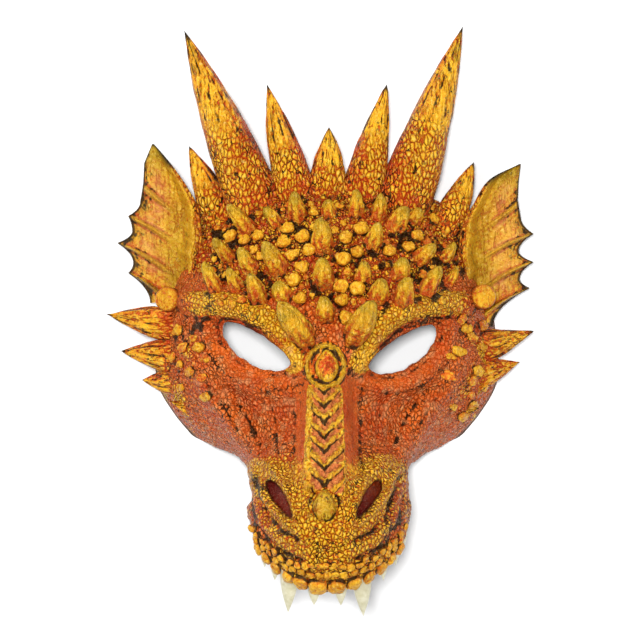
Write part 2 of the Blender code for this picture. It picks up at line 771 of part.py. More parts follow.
def link_mesh(name, piece, collection, colour=None):
    points, faces = facing_out(piece)
    mesh = bpy.data.meshes.new(name)
    mesh.from_pydata(points, [], faces)
    mesh.update()
    made = bpy.data.objects.new(name, mesh)
    collection.objects.link(made)
    if colour:
        mesh.materials.append(colour)
    else:
        made.hide_render = True
        made.display_type = "WIRE"
    return made


def paint():
    material = bpy.data.materials.new("painted foam")
    material.use_nodes = True
    shader = material.node_tree.nodes["Principled BSDF"]
    shader.inputs["Base Color"].default_value = (0.72, 0.27, 0.03, 1)
    shader.inputs["Roughness"].default_value = 0.5
    shader.inputs["Metallic"].default_value = 0.0
    return material


def new_collection(name):
    made = bpy.data.collections.new(name)
    bpy.context.scene.collection.children.link(made)
    return made


def boolean(target, operation, operand):
    modifier = target.modifiers.new(operation.lower(), "BOOLEAN")
    modifier.operation = operation
    modifier.solver = "EXACT"
    if isinstance(operand, bpy.types.Collection):
        modifier.operand_type = "COLLECTION"
        modifier.collection = operand
    else:
        modifier.object = operand
    return modifier


def main():
    for old in list(bpy.data.objects):
        bpy.data.objects.remove(old)
    skin = Skin()
    groups = {
        "horns": drawn_spikes(skin, HORNS, HORN_SIDES, 5, 1.8),
        "cheek spikes": drawn_spikes(skin, CHEEK_SPIKES, SPIKE_SIDES, 3, 1.5),
        "thorns": thorns(skin),
        "knobs": knobs(skin),
        "ears": [ear(LEFT_EAR), ear(RIGHT_EAR)],
        "discs": ear_discs(skin),
        "nose plate": nose_plate(skin),
        "nose ring": [nose_ring(skin)],
        "nose bosses": nose_bosses(skin),
        "nostril cups": nostrils(skin, ROOT_DEPTH, NOSTRIL_LIP),
        "lip plates": lip_plates(skin),
        "teeth": teeth(skin),
    }
    shell = face_shell()
    everything = np.array(
        [point for pieces in groups.values() for points, _ in pieces for point in points] + shell[0]
    )
    low, high = everything.min(axis=0), everything.max(axis=0)
    middle = ((low + high) / 2)[:2]

    def centred(piece):
        points, faces = piece
        return [(x - middle[0], y - middle[1], z) for x, y, z in points], faces

    model = new_collection("dragon mask")
    carving = new_collection("carving")
    cutters = new_collection("cutters")
    mask = link_mesh("mask", centred(shell), model, paint())
    for name, pieces in groups.items():
        for count, piece in enumerate(pieces):
            link_mesh(f"{name} {count + 1}", centred(piece), carving)
    for count, piece in enumerate(eye_cutters(skin) + nostrils(skin, 0, NOSTRIL_DEPTH)):
        link_mesh(f"cutter {count + 1}", centred(piece), cutters)
    square = [(-0.3, -0.3), (0.3, -0.3), (0.3, 0.3), (-0.3, 0.3)]
    link_mesh("table", prism(square, Vector((0, 0, 0)), 0, 0.1), cutters)
    boolean(mask, "UNION", carving)
    boolean(mask, "DIFFERENCE", cutters)


main()
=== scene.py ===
import math
import random

import bpy
import numpy as np
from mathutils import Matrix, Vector, noise
from mathutils.bvhtree import BVHTree
from mathutils.kdtree import KDTree


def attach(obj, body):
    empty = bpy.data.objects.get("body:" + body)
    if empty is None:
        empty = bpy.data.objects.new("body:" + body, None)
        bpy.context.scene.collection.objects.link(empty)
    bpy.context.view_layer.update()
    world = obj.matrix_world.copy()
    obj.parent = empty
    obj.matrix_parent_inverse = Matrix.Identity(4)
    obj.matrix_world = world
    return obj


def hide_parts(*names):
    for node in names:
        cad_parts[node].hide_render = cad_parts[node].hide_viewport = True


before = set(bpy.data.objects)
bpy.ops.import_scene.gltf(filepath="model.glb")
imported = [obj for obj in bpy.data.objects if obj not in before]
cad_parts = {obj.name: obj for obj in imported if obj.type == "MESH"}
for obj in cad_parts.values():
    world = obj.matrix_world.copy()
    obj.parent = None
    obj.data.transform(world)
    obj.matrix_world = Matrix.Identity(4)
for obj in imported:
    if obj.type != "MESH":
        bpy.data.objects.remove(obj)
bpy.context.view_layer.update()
print("frame loaded")

# The mask is drawn in the pixels of a front view, as (column, row), with heights in millimetres.
drawing = {
    "pixel": 0.322 / 586, "column": 327, "row": 320, "height": 0.040, "distance": 1.5,
    "shift": (-0.00385, 0.00252)
}


def toMetres(columns, rows, heights):
    heights = np.asarray(heights, float) / 1000
    near = 1 - (heights - drawing["height"]) / drawing["distance"]
    x = (np.asarray(columns, float) - drawing["column"]) * drawing["pixel"] * near - drawing["shift"][0]
    y = (drawing["row"] - np.asarray(rows, float)) * drawing["pixel"] * near - drawing["shift"][1]
    return np.stack([x, y, heights + 0 * x], axis=-1)


def toDrawing(points):
    near = 1 - (points[..., 2] - drawing["height"]) / drawing["distance"]
    columns = (points[..., 0] + drawing["shift"][0]) / drawing["pixel"] / near + drawing["column"]
    rows = drawing["row"] - (points[..., 1] + drawing["shift"][1]) / drawing["pixel"] / near
    return columns, rows


def spot(column, row, height):
    return Vector(toMetres(column, row, height))


def smooth(low, high, values):
    share = np.clip((values - low) / (high - low), 0, 1)
    return share * share * (3 - 2 * share)


def bump(distance, halfWidth):
    return np.exp(-((distance / halfWidth) ** 2))


def lineDistance(columns, rows, line):
    nearest = np.full(np.shape(columns), 1e9)
    for (x0, y0), (x1, y1) in zip(line, line[1:]):
        dx, dy = x1 - x0, y1 - y0
        along = np.clip(((columns - x0) * dx + (rows - y0) * dy) / (dx * dx + dy * dy), 0, 1)
        nearest = np.minimum(nearest, np.hypot(columns - x0 - along * dx, rows - y0 - along * dy))
    return nearest


def splineWeights(shares, count):
    # Catmull-Rom weights of `count` points at each share
    weights = np.zeros((len(shares), count))
    for line, share in enumerate(shares):
        first = min(int(share * (count - 1)), count - 2)
        t = share * (count - 1) - first
        parts = (
            -0.5 * t + t * t - 0.5 * t**3, 1 - 2.5 * t * t + 1.5 * t**3, 0.5 * t + 2 * t * t - 1.5 * t**3,
            -0.5 * t * t + 0.5 * t**3
        )
        for offset, part in enumerate(parts):
            index = first - 1 + offset
            if index < 0:
                weights[line, 0] += 2 * part
                weights[line, 1] -= part
            elif index >= count:
                weights[line, count - 1] += 2 * part
                weights[line, count - 2] -= part
            else:
                weights[line, index] += part
    return weights


def gridNormals(points, wrap=False):
    if wrap:
        padded = np.concatenate([points[:, -1:], points, points[:, :1]], axis=1)
        across = np.gradient(padded, axis=1)[:, 1:-1]
    else:
        across = np.gradient(points, axis=1)
    normals = np.cross(np.gradient(points, axis=0), across)
    return normals / np.maximum(np.linalg.norm(normals, axis=2, keepdims=True), 1e-12)


def noiseField(points, size, seed=0, octaves=2):
    # Smooth noise of about -1 to 1, in blobs of `size` metres
    shift = Vector((seed * 3.7, seed * 1.3, seed * 7.1))
    flat = points.reshape(-1, 3) / size
    made = [noise.fractal(Vector(p) + shift, 0.9, 2.0, octaves) for p in flat]
    return np.array(made).reshape(points.shape[:-1])


def cells(points, spacing, seed):
    # Voronoi cells on a surface: how far each point lies from its cell's border, as a share, and a
    # number for the cell.
    # `spacing` is one number or one for each point.
    flat = points.reshape(-1, 3)
    gaps = np.broadcast_to(
        np.asarray(spacing, float).reshape(-1) if np.ndim(spacing) else spacing, (len(flat),)
    )
    order = np.random.RandomState(seed).permutation(len(flat))
    width = float(gaps.max())
    keys = np.floor(flat / width).astype(int)
    beside = [(i, j, k) for i in (-1, 0, 1) for j in (-1, 0, 1) for k in (-1, 0, 1)]
    kept, places = {}, []
    for index in order:
        x, y, z = flat[index]
        a, b, c = keys[index]
        close = (place for i, j, k in beside for place in kept.get((a + i, b + j, c + k), ()))
        if all((u - x) ** 2 + (v - y) ** 2 + (w - z) ** 2 >= gaps[index] ** 2 for u, v, w in close):
            kept.setdefault((a, b, c), []).append((x, y, z))
            places.append((x, y, z))
    tree = KDTree(len(places))
    for index, place in enumerate(places):
        tree.insert(place, index)
    tree.balance()
    border, which = np.zeros(len(flat)), np.zeros(len(flat))
    for index, point in enumerate(flat):
        (_, first, near), (_, _, far) = tree.find_n(point, 2)
        border[index] = (far - near) / gaps[index]
        which[index] = first
    which = np.random.RandomState(seed + 1).rand(len(places))[which.astype(int)]
    return border.reshape(points.shape[:-1]), which.reshape(points.shape[:-1])


def gridFaces(rows, columns, offset=0, wrap=False):
    index = offset + np.arange(rows * columns).reshape(rows, columns)
    if wrap:
        index = np.concatenate([index, index[:, :1]], axis=1)
    return np.stack(
        [index[:-1, :-1], index[:-1, 1:], index[1:, 1:], index[1:, :-1]], axis=-1
    ).reshape(-1, 4).tolist()


def rimLoop(rows, columns, offset=0):
    index = offset + np.arange(rows * columns).reshape(rows, columns)
    return [
        *index[0, :-1].tolist(), *index[:-1, -1].tolist(), *index[-1, :0:-1].tolist(),
        *index[:0:-1, 0].tolist()
    ]


# the first paint is black: black wash, and painted shade in hollows, creases and round what stands out
paintNames = ("wash", "gold", "red", "green", "pale", "cut", "scale", "streak", "crimson")


class Batch:
    # Gathers closed parts, with the paint of each point, into one mesh
    def __init__(self):
        self.points, self.faces = [], []
        self.paint = {name: [] for name in paintNames}
        self.count = 0

    def add(self, points, faces, **paint):
        points = np.asarray(points, float).reshape(-1, 3)
        corners = np.array([[face[0], face[1], face[2]] for face in faces])
        a, b, c = (points[corners[:, k]] for k in range(3))
        volume = np.einsum(
            "ij,ij->", a - points.mean(axis=0), np.cross(b - points.mean(axis=0), c - points.mean(axis=0))
        )
        turned = [face[::-1] for face in faces] if volume < 0 else faces
        self.faces += [[corner + self.count for corner in face] for face in turned]
        self.points.append(points)
        for name in paintNames:
            values = np.asarray(paint.get(name, 0.0), float)
            self.paint[name].append(
                np.broadcast_to(values.reshape(-1), (len(points),)) if values.size > 1
                else np.full(len(points), float(values))
            )
        self.count += len(points)

    def build(self, name):
        mesh = bpy.data.meshes.new(name)
        mesh.from_pydata(np.concatenate(self.points).tolist(), [], self.faces)
        for label in paintNames:
            layer = mesh.attributes.new(label, "FLOAT", "POINT")
            layer.data.foreach_set(
                "value", np.clip(np.concatenate(self.paint[label]), 0, 1).astype(np.float32)
            )
        made = bpy.data.objects.new(name, mesh)
        bpy.context.scene.collection.objects.link(made)
        return made


# Face: the same surface as the solid's, drawn finer
faceCage = [
    [
        (0, 182, -6), (22, 182, -6), (45, 184, -6), (72, 191, -6), (98, 201, -6), (118, 213, -6),
        (130, 232, -6)
    ],
    [
        (0, 177, 16), (22, 177, 16), (45, 179, 15), (73, 187, 14), (101, 198, 12), (123, 213, 9),
        (138, 245, -6)
    ],
    [
        (0, 196, 32), (22, 196, 32), (46, 198, 30), (74, 205, 27), (102, 216, 22), (127, 231, 14),
        (147, 262, -6)
    ],
    [
        (0, 232, 50), (23, 232, 50), (47, 234, 48), (76, 238, 43), (107, 246, 34), (136, 258, 21),
        (157, 284, -6)
    ],
    [
        (0, 272, 62), (23, 272, 62), (48, 273, 60), (78, 275, 54), (110, 279, 44), (143, 287, 27),
        (166, 304, -6)
    ],
    [
        (0, 308, 70), (23, 309, 69), (48, 306, 66), (78, 303, 60), (112, 304, 49), (148, 311, 30),
        (171, 325, -6)
    ],
    [
        (0, 335, 74), (22, 338, 72), (44, 338, 65), (76, 330, 58), (110, 325, 49), (150, 333, 31),
        (173, 345, -6)
    ],
    [
        (0, 365, 78), (20, 366, 74), (40, 362, 61), (76, 350, 53), (113, 346, 45), (151, 352, 31),
        (175, 363, -6)
    ],
    [
        (0, 400, 86), (20, 400, 80), (40, 394, 63), (73, 384, 54), (112, 378, 46), (151, 375, 30),
        (174, 381, -6)
    ],
    [
        (0, 440, 96), (22, 440, 89), (43, 434, 68), (69, 422, 55), (104, 412, 44), (145, 399, 26),
        (168, 396, -6)
    ],
    [
        (0, 478, 105), (24, 478, 101), (48, 470, 84), (70, 456, 60), (94, 441, 41), (134, 422, 21),
        (158, 411, -6)
    ],
    [
        (0, 510, 113), (27, 509, 110), (55, 500, 94), (76, 481, 68), (84, 457, 41), (124, 435, 16),
        (153, 419, -6)
    ],
    [
        (0, 545, 116), (29, 543, 112), (59, 530, 96), (80, 505, 71), (83, 463, 38), (118, 442, 13),
        (150, 424, -6)
    ],
    [
        (0, 575, 108), (31, 571, 104), (60, 553, 90), (81, 523, 68), (82, 466, 35), (115, 445, 11),
        (148, 428, -6)
    ],
    [(0, 591, 97), (30, 586, 94), (58, 565, 82), (78, 532, 64), (80, 470, 33), (112, 447, 9), (146, 431, -6)],
]
folds = {
    "brow": ([(136, 303), (108, 303), (80, 308), (58, 322), (42, 340), (34, 362)], 13, 7.0),
    "lid": ([(122, 326), (116, 352), (98, 376), (70, 388), (40, 388)], 10, 4.0),
    "cheek": ([(134, 352), (118, 388), (94, 420), (78, 446)], 12, 4.0),
    "furrow": ([(98, 394), (80, 412), (66, 440)], 8, -2.6),
    "nose": ([(34, 386), (35, 420), (38, 452), (42, 474)], 8, -2.6),
    "lip": ([(76, 506), (66, 530), (44, 552), (16, 562)], 8, 2.0),
}
face = {"rows": 384, "columns": 236, "inner": 4, "wall": 0.005, "root": 0.0025}


def drawnFace(rowShares, columnShares):
    cage = np.array(faceCage, float)
    left = cage[:, :0:-1] * (-1, 1, 1)
    left[10:, 2:, 0] *= 0.93
    whole = np.concatenate([left, cage], axis=1)
    down = splineWeights(rowShares, whole.shape[0])
    across = splineWeights((np.asarray(columnShares) + 1) / 2, whole.shape[1])
    return np.einsum("ri,ijk,cj->rck", down, whole, across)


def faceBase(rowShares, columnShares):
    drawn = drawnFace(rowShares, columnShares)
    base = toMetres(drawn[..., 0] + drawing["column"], drawn[..., 1], drawn[..., 2])
    normals = gridNormals(base)
    columns, rows = np.abs(drawn[..., 0]), drawn[..., 1]
    relief = sum(
        height * bump(lineDistance(columns, rows, line), width) for line, width, height in folds.values()
    )
    relief *= np.clip(drawn[..., 2] / 20, 0, 1) / 1000
    return base, normals, relief, drawn


def evenShares(points, axis, count):
    # Shares that space a grid's lines evenly over the surface
    steps = np.linalg.norm(np.diff(points, axis=axis), axis=2).mean(axis=1 - axis)
    along = np.concatenate([[0], np.cumsum(steps)])
    return np.interp(np.linspace(0, along[-1], count), along, np.linspace(0, 1, len(along)))


class Skin:
    # The smooth outer surface that everything on the face is placed by
    def __init__(self):
        rows, columns = 361, 289
        base, normals, relief, _ = faceBase(np.linspace(0, 1, rows), np.linspace(-1, 1, columns))
        outer = base + normals * relief[..., None]
        self.tree = BVHTree.FromPolygons(outer.reshape(-1, 3).tolist(), gridFaces(rows, columns))

    def under(self, column, row):
        eye = spot(drawing["column"], drawing["row"], 40) + Vector((0, 0, drawing["distance"]))
        point, normal, _, _ = self.tree.ray_cast(eye, (spot(column, row, 40) - eye).normalized())
        if point is None:
            point, normal, _, _ = self.tree.find_nearest(spot(column, row, 0))
        return point, normal if normal.z > 0 else -normal

    def rooted(self, point):
        near, normal, _, _ = self.tree.find_nearest(point)
        outward = normal if normal.dot(near - Vector((0, 0.01, 0))) > 0 else -normal
        return near - outward * face["root"]

    def onLip(self, share, up=0.0):
        base, normals, relief, _ = faceBase([1 - up - 0.01, 1 - up], [share - 0.01, share, share + 0.01])
        outer = base + normals * relief[..., None]
        along = Vector(outer[1, 2] - outer[1, 0]).normalized()
        down = Vector(outer[1, 1] - outer[0, 1]).normalized()
        return Vector(outer[1, 1]), Vector(normals[1, 1]), along, down


skin = Skin()

# Tables of what grows out of the face
horns = {
    "sides": 84, "rings": 130, "stations": 5, "taper": 1.8, "scaly": 0.5, "slim": 0.2, "seed": 40,
    "places": [
        ((257, 208, 20), (184, 30, 26), 57, 48),
        ((402, 206, 20), (463, 26, 26), 57, 48),
        ((297, 198, 22), (267, 84, 27), 42, 36),
        ((362, 196, 22), (387, 84, 27), 43, 36),
        ((328, 196, 24), (329, 127, 27), 42, 32),
        ((220, 218, 16), (189, 146, 18), 36, 30),
        ((446, 227, 16), (474, 162, 18), 36, 30),
    ],
}
cheekSpikes = {
    "sides": 60, "rings": 70, "stations": 3, "taper": 1.5, "scaly": 0.2, "slim": 0.5, "seed": 60,
    "places": [
        ((170, 325, 20), (106, 314, 15), 38, 27),
        ((172, 356, 20), (121, 351, 14), 37, 25),
        ((175, 382, 17), (142, 380, 12), 30, 22),
        ((193, 410, 20), (170, 401, 23), 16, 14),
        ((482, 348, 20), (534, 331, 15), 35, 27),
        ((476, 375, 19), (520, 362, 14), 33, 25),
        ((470, 391, 22), (490, 382, 22), 18, 15),
        ((450, 414, 25), (479, 408, 20), 20, 17),
    ],
}
thorns = {
    "fullness": 1.12, "lift": 0.45, "taper": 2.3, "leafTaper": 2.6, "leafWidth": 22,
    "places": [
        ((250, 231), (227, 204), 16), ((278, 224), (264, 207), 14), ((298, 218), (294, 191), 17),
        ((230, 259), (213, 238), 14),
        ((252, 270), (239, 247), 17), ((279, 270), (264, 241), 20), ((323, 249), (320, 217), 21),
        ((324, 284), (321, 257), 20),
        ((216, 289), (203, 262), 15), ((237, 288), (228, 268), 14), ((259, 299), (249, 273), 18),
        ((284, 298), (276, 281), 19),
        ((308, 343), (278, 301), 22), ((326, 317), (323, 296), 18), ((356, 214), (356, 189), 15),
        ((378, 217), (381, 193), 15),
        ((395, 227), (407, 206), 20), ((413, 221), (421, 208), 14), ((329, 214), (328, 199), 14),
        ((372, 245), (379, 222), 16),
        ((418, 260), (436, 244), 16), ((363, 278), (365, 261), 16), ((400, 276), (403, 257), 19),
        ((427, 291), (441, 266), 18),
        ((378, 298), (382, 278), 19), ((403, 301), (409, 277), 19), ((352, 342), (374, 300), 22),
        ((444, 260), (455, 242), 12),
        ((450, 282), (457, 267), 10),
    ],
}
knobs = {
    "fullness": 1.12, "height": 0.0042,
    "places": [
        ((288, 230), 13), ((285, 243), 13), ((303, 238), 14), ((309, 251), 13), ((293, 256), 12),
        ((302, 268), 13), ((294, 281), 13),
        ((259, 237), 11), ((232, 238), 13), ((246, 241), 11), ((300, 299), 11), ((314, 214), 10),
        ((361, 230), 14),
        ((346, 239), 13), ((357, 253), 12), ((343, 260), 14), ((341, 287), 14), ((357, 289), 15),
        ((342, 301), 12), ((407, 248), 12),
        ((416, 237), 12), ((388, 252), 12), ((433, 221), 11), ((201, 347), 11), ((345, 318), 13),
    ],
}
# zones of the nodules: left, top, right, bottom, how many to try, least and most width, how much longer
nodules = {"seed": 5, "zones": [
    (212, 205, 446, 306, 1020, 5.5, 9.5, 1.0), (172, 322, 208, 400, 24, 7, 12, 1.6),
    (446, 318, 484, 416, 30, 7, 12, 1.7),
]}
lip = {
    "seed": 8, "plates": (9.6, 7.8, 6.8, 6.2, 5.8, 5.4),
    "beads": [{"up": 0.072, "size": 0.0043}, {"up": 0.098, "size": 0.0038}], "beadReach": 0.47,
}
discs = {
    "places": [(172, 300), (479, 298)], "radius": 0.0067, "sides": 48,
    "profile": [
        (-0.0025, 1.0), (0.0, 1.0), (0.0122, 1.0), (0.0134, 0.985), (0.0142, 0.93), (0.0146, 0.84),
        (0.0147, 0.5), (0.0147, 0.0),
    ],
}
teeth = {
    "fangs": {"at": (-0.245, 0.212), "length": 0.0215, "width": 0.0118},
    "small": {"at": (-0.42, -0.34, -0.08, 0.08, 0.34, 0.43, 0.5, 0.62), "length": 0.0105, "width": 0.0075},
}
eyes = {
    "places": [(257, 344), (402, 347)], "length": 0.0425, "upper": 0.0054, "lower": 0.0114,
    "tilt": math.radians(31.7)
}
noseParts = {
    "column": 324.5, "halfWidth": 17.5, "widening": 4.2, "top": 385, "bottom": 500, "grid": (90, 260),
    "bars": [374, 392, 405, 420, 436, 449, 466, 483, 499, 514, 530],
    "ring": (325.5, 366.5), "ringRadii": (18, 20.5), "boss": (324.5, 506), "bossRadii": (12.5, 16),
}
nostrils = {"places": [(280, 500), (369, 499)], "length": 26, "width": 7.0, "tilt": math.radians(58)}


def stripWidth(rows):
    # Half the width of the strip down the nose
    return noseParts["halfWidth"] + noseParts["widening"] * smooth(390, 495, rows)


def around(columns, rows, middle, radii):
    return np.hypot((columns - middle[0]) / radii[0], (rows - middle[1]) / radii[1])


def eyeDistance(columns, rows):
    # About how many pixels a point lies outside the nearer eye hole, and how far along the hole it lies
    best, share = np.full(np.shape(columns), 1e9), np.zeros(np.shape(columns))
    for side, (x, y) in zip((-1, 1), eyes["places"]):
        tilt = side * eyes["tilt"]
        dx, dy = columns - x, y - rows
        along = (dx * math.cos(tilt) + dy * math.sin(tilt)) * drawing["pixel"] / (eyes["length"] / 2)
        up = (-dx * math.sin(tilt) + dy * math.cos(tilt)) * drawing["pixel"]
        tall = np.where(up > 0, eyes["upper"], eyes["lower"])
        radius = np.hypot(along, up / tall)
        away = (radius - 1) * np.where(radius > 0, np.hypot(dx, dy) / np.maximum(radius, 1e-6), 1)
        share = np.where(away < best, along * -side, share)
        best = np.minimum(best, away)
    return best, share


def faceGrid():
    coarse = faceBase(np.linspace(0, 1, 141), np.linspace(-1, 1, 121))[0]
    rowShares = evenShares(coarse, 0, face["rows"] + 1)
    columnShares = 2 * evenShares(coarse, 1, face["columns"] + 1) - 1
    base, normals, fold, _ = faceBase(rowShares, columnShares)
    outer = base + normals * fold[..., None]
    columns, rows = toDrawing(outer)
    side = columns - drawing["column"]
    across = np.abs(side)
    up = outer[..., 2] * 1000
    v, u = np.meshgrid(rowShares, columnShares, indexing="ij")
    eyeAway, _ = eyeDistance(columns, rows)
    patch = noiseField(outer, 0.016, 1)
    fine = noiseField(outer, 0.005, 2)

    # zones of the face, each 0 to 1
    browLine = lineDistance(across, rows, folds["brow"][0])
    brow = 1 - smooth(9, 15, browLine)
    lid = 1 - smooth(7, 13, lineDistance(across, rows, folds["lid"][0]))
    forehead = (1 - smooth(296, 306, rows + 0.0016 * across**2)) * (1 - brow)
    snoutTop = smooth(462, 482, rows + 0.25 * np.maximum(across - 40, 0))
    snout = np.maximum(snoutTop, smooth(60, 75, up) * smooth(440, 470, rows))
    strip = (
        (1 - smooth(-1.5, 1.5, np.abs(columns - noseParts["column"]) - stripWidth(rows)))
        * smooth(386, 392, rows) * (1 - smooth(494, 501, rows))
    )
    band = (1 - smooth(30, 34, across)) * smooth(372, 384, rows) * (1 - smooth(470, 486, rows)) * (1 - strip)
    edgeSpots = smooth(120, 150, across) * smooth(330, 345, rows)
    foot = 1 - smooth(1, 6, up)

    # pebbled scales, larger on the forehead and the snout
    spacing = 0.0030 + 0.0006 * forehead
    border, which = cells(outer * (1, 0.8, 1), spacing, 11)
    crest = smooth(0.0, 0.42, border)
    pebble = 0.35 + 1.35 * forehead + 0.5 * edgeSpots
    pebble *= (1 - 0.75 * band) * (1 - 0.9 * strip) * (0.75 + 0.5 * which)
    relief = (
        pebble * (crest - 0.6) + (0.35 + 0.7 * forehead + 0.35 * snout) * fine
        + 0.5 * patch * (1 - forehead) * (1 - brow)
    )

    # beside the strip down the nose run two smooth sunk bands
    relief -= 1.3 * band * bump(across - 27, 7)
    crease = bump(across - 34, 2.0) * smooth(380, 395, rows) * (1 - smooth(455, 480, rows))
    relief -= 1.1 * crease

    ring = around(columns, rows, noseParts["ring"], noseParts["ringRadii"])
    inRing = 1 - smooth(1.1, 1.3, ring)
    boss = around(columns, rows, noseParts["boss"], noseParts["bossRadii"])
    bossRing = bump(boss - 1.2, 0.16)
    # finer pieces lie over the skin here
    covered = np.maximum(np.maximum(strip, inRing), 1 - smooth(0.9, 1.1, boss))
    relief = relief * (1 - covered) - 0.4 * covered - 0.7 * bossRing

    # the two nostrils
    pit, down = np.full(np.shape(columns), 1e9), np.zeros(np.shape(columns))
    for turn, (x, y) in zip((-1, 1), nostrils["places"]):
        dx, dy = columns - x, y - rows
        along = dx * math.cos(nostrils["tilt"]) + turn * dy * math.sin(nostrils["tilt"])
        wide = -turn * dx * math.sin(nostrils["tilt"]) + dy * math.cos(nostrils["tilt"])
        reach = nostrils["length"] / 2 / 0.55
        thin = nostrils["width"] / 2 / 0.55 * (1.05 + 0.35 * turn * along / reach)
        far = np.hypot(along / reach, wide / np.maximum(thin, 2.5))
        down = np.where(far < pit, turn * along / reach, down)
        pit = np.minimum(pit, far)
    nostril = 1 - smooth(0.80, 1.0, pit)
    nostrilRim = bump(pit - 1.65, 0.5) * smooth(0.95, 1.3, pit)
    relief += 2.7 * nostrilRim - 0.8 * bump(pit - 2.7, 0.35) * (side * down < 40) + 0.9 * lid * (1 - brow)
    fold1 = bump(lineDistance(across, rows, [(70, 480), (62, 515), (46, 532), (30, 540)]), 3.0)
    fold2 = bump(lineDistance(across, rows, [(78, 500), (71, 527), (52, 549), (26, 561)]), 2.6)
    fold3 = bump(lineDistance(across, rows, [(76, 520), (62, 545), (40, 562), (18, 570)]), 2.2)
    relief -= 2.0 * fold1 + 1.7 * fold2 + 1.3 * fold3
    lipGroove = (bump(v - 0.952, 0.005) + 0.8 * bump(v - 0.925, 0.004)) * (np.abs(u) < 0.64)
    relief -= 0.9 * lipGroove

    # creases round the eyes and in the cheeks
    lidLine = bump(eyeAway - 5, 1.6) + 0.8 * bump(eyeAway - 22, 1.8) * (rows > 340)
    underBrow = bump(browLine - 15, 2.2) * (rows + across * 0.2 > 325)
    cheekLine = bump(lineDistance(across, rows, [(104, 388), (84, 410), (70, 438), (66, 456)]), 2.2)
    cheekLine += bump(lineDistance(across, rows, [(128, 372), (108, 402), (90, 430)]), 1.8) * 0.7
    cheekLine += bump(lineDistance(across, rows, [(60, 392), (52, 420), (50, 452)]), 1.8) * 0.8
    relief -= 0.5 * lidLine + 0.7 * underBrow + 1.0 * cheekLine
    relief *= (1 - foot) * smooth(2, 8, up)

    # painted shade: the skin is darkened in the hollow round what grows out of it
    crowd = np.full(np.shape(columns), 1e9)
    for root, tip, width in thorns["places"]:
        crowd = np.minimum(crowd, lineDistance(columns, rows, [root, tip]) - 0.62 * width)
    for place, width in knobs["places"]:
        crowd = np.minimum(crowd, np.hypot(columns - place[0], rows - place[1]) - width / 2)
    hollow = bump(np.maximum(crowd, 0), 4.5) * smooth(186, 205, rows) * (1 - smooth(306, 330, rows))

    # painted shade in the hollows behind the outer ends of the brows, where the spikes rise from them
    crowdLine = np.minimum(
        lineDistance(columns, rows, [(166, 338), (196, 330), (206, 322)]),
        lineDistance(columns, rows, [(176, 368), (188, 372)])
    )
    crowdLine = np.minimum(crowdLine, lineDistance(columns, rows, [(484, 330), (462, 326), (452, 318)]))

    # paint
    seam = 1 - smooth(0.0, 0.3, border)
    pick = smooth(0.55, 0.75, which)
    wash = (
        seam * 0.15 * forehead
        + seam * pick * 0.45 * (1 - brow) * smooth(0.0, 0.5, patch) * (1 - 0.6 * snout)
    )
    # painted shade round the thorns and knobs
    wash += 0.8 * hollow * smooth(0.0, 0.35, 0.7 * fine + 0.7 * patch)
    # the folds, grooves and creases darken: black wash, with painted shade in them
    wash += (
        0.7 * crease * smooth(-0.3, 0.3, fine) + 0.9 * fold1 * smooth(-0.5, 0.1, fine)
        + 0.75 * lipGroove * smooth(-0.3, 0.4, fine) + 0.85 * fold2 * smooth(-0.5, 0.1, fine)
        + 0.7 * fold3 * smooth(-0.4, 0.3, fine)
    )
    wash += (
        0.6 * lidLine * smooth(-0.4, 0.3, fine) + 0.55 * underBrow * smooth(-0.5, 0.2, fine)
        + 0.8 * cheekLine * smooth(-0.2, 0.35, fine)
        + 0.9 * bossRing * smooth(-0.3, 0.3, fine) * (rows < 515) * (rows > 492)
    )
    wash += 0.5 * brow * smooth(0.62, 0.8, which) * seam
    # painted shade behind the brows' outer ends
    wash += 0.95 * bump(crowdLine, 8.0) * smooth(0.0, 0.3, fine + 0.2 * patch)
    gold = (
        0.34 + 0.38 * forehead + 1.0 * brow * (1 - smooth(120, 150, across)) + 0.68 * snout
        + 0.75 * edgeSpots * smooth(-0.1, 0.5, patch)
    )
    gold += (
        0.6 * nostrilRim - 0.25 * (fold1 + fold2 + fold3) - 0.30 * band
        + (0.08 + 0.55 * forehead + 0.3 * edgeSpots) * (crest - 0.75)
        + (0.1 + 0.2 * forehead) * (which - 0.5)
    )
    cheeks = smooth(322, 345, rows) * (1 - snout) * (1 - strip) * (1 - edgeSpots)
    gold -= (
        0.22 * cheeks
        + 0.34 * smooth(54, 70, across + 5 * patch - 4 * (side > 0)) * snout * (1 - nostrilRim)
    )
    red = (
        0.25 * smooth(0.1, 0.6, patch) * cheeks + nostril
        + 0.75 * forehead * smooth(-0.1, 0.5, -patch) * (1 - crest * 0.6)
    )
    red += 0.5 * bump(eyeAway - 3, 6) * (1 - smooth(345, 352, rows))
    green = 0.18 * smooth(0.3, 0.8, -patch) * snout + 0.25 * smooth(0.35, 0.8, patch) * forehead
    cut = np.maximum(foot, smooth(0.985, 0.998, np.abs(u)))
    cut = np.maximum(cut, 0.75 * (1 - smooth(0.0, 1.2, np.abs(eyeAway))))
    # inside the nostrils: dark, with painted shadow deepening towards one end of the left pit
    wash = (
        wash * (1 - nostril)
        + nostril * np.where(
            side < 0, 0.50 + 0.3 * smooth(-0.1, 0.7, down), 0.46 + 0.22 * smooth(0.1, -0.6, down)
        )
        + 0.6 * bump(pit - 0.92, 0.07)
    )
    outer = outer + normals * (relief / 1000)[..., None]
    outer[..., 2] -= 0.0075 * nostril
    scale = (
        (0.8 + 0.2 * forehead + 0.2 * snout) * (1 - 0.7 * band) * (1 - nostril)
        * (1 - 0.55 * bump(eyeAway - 9, 7) * (rows > 345))
    )
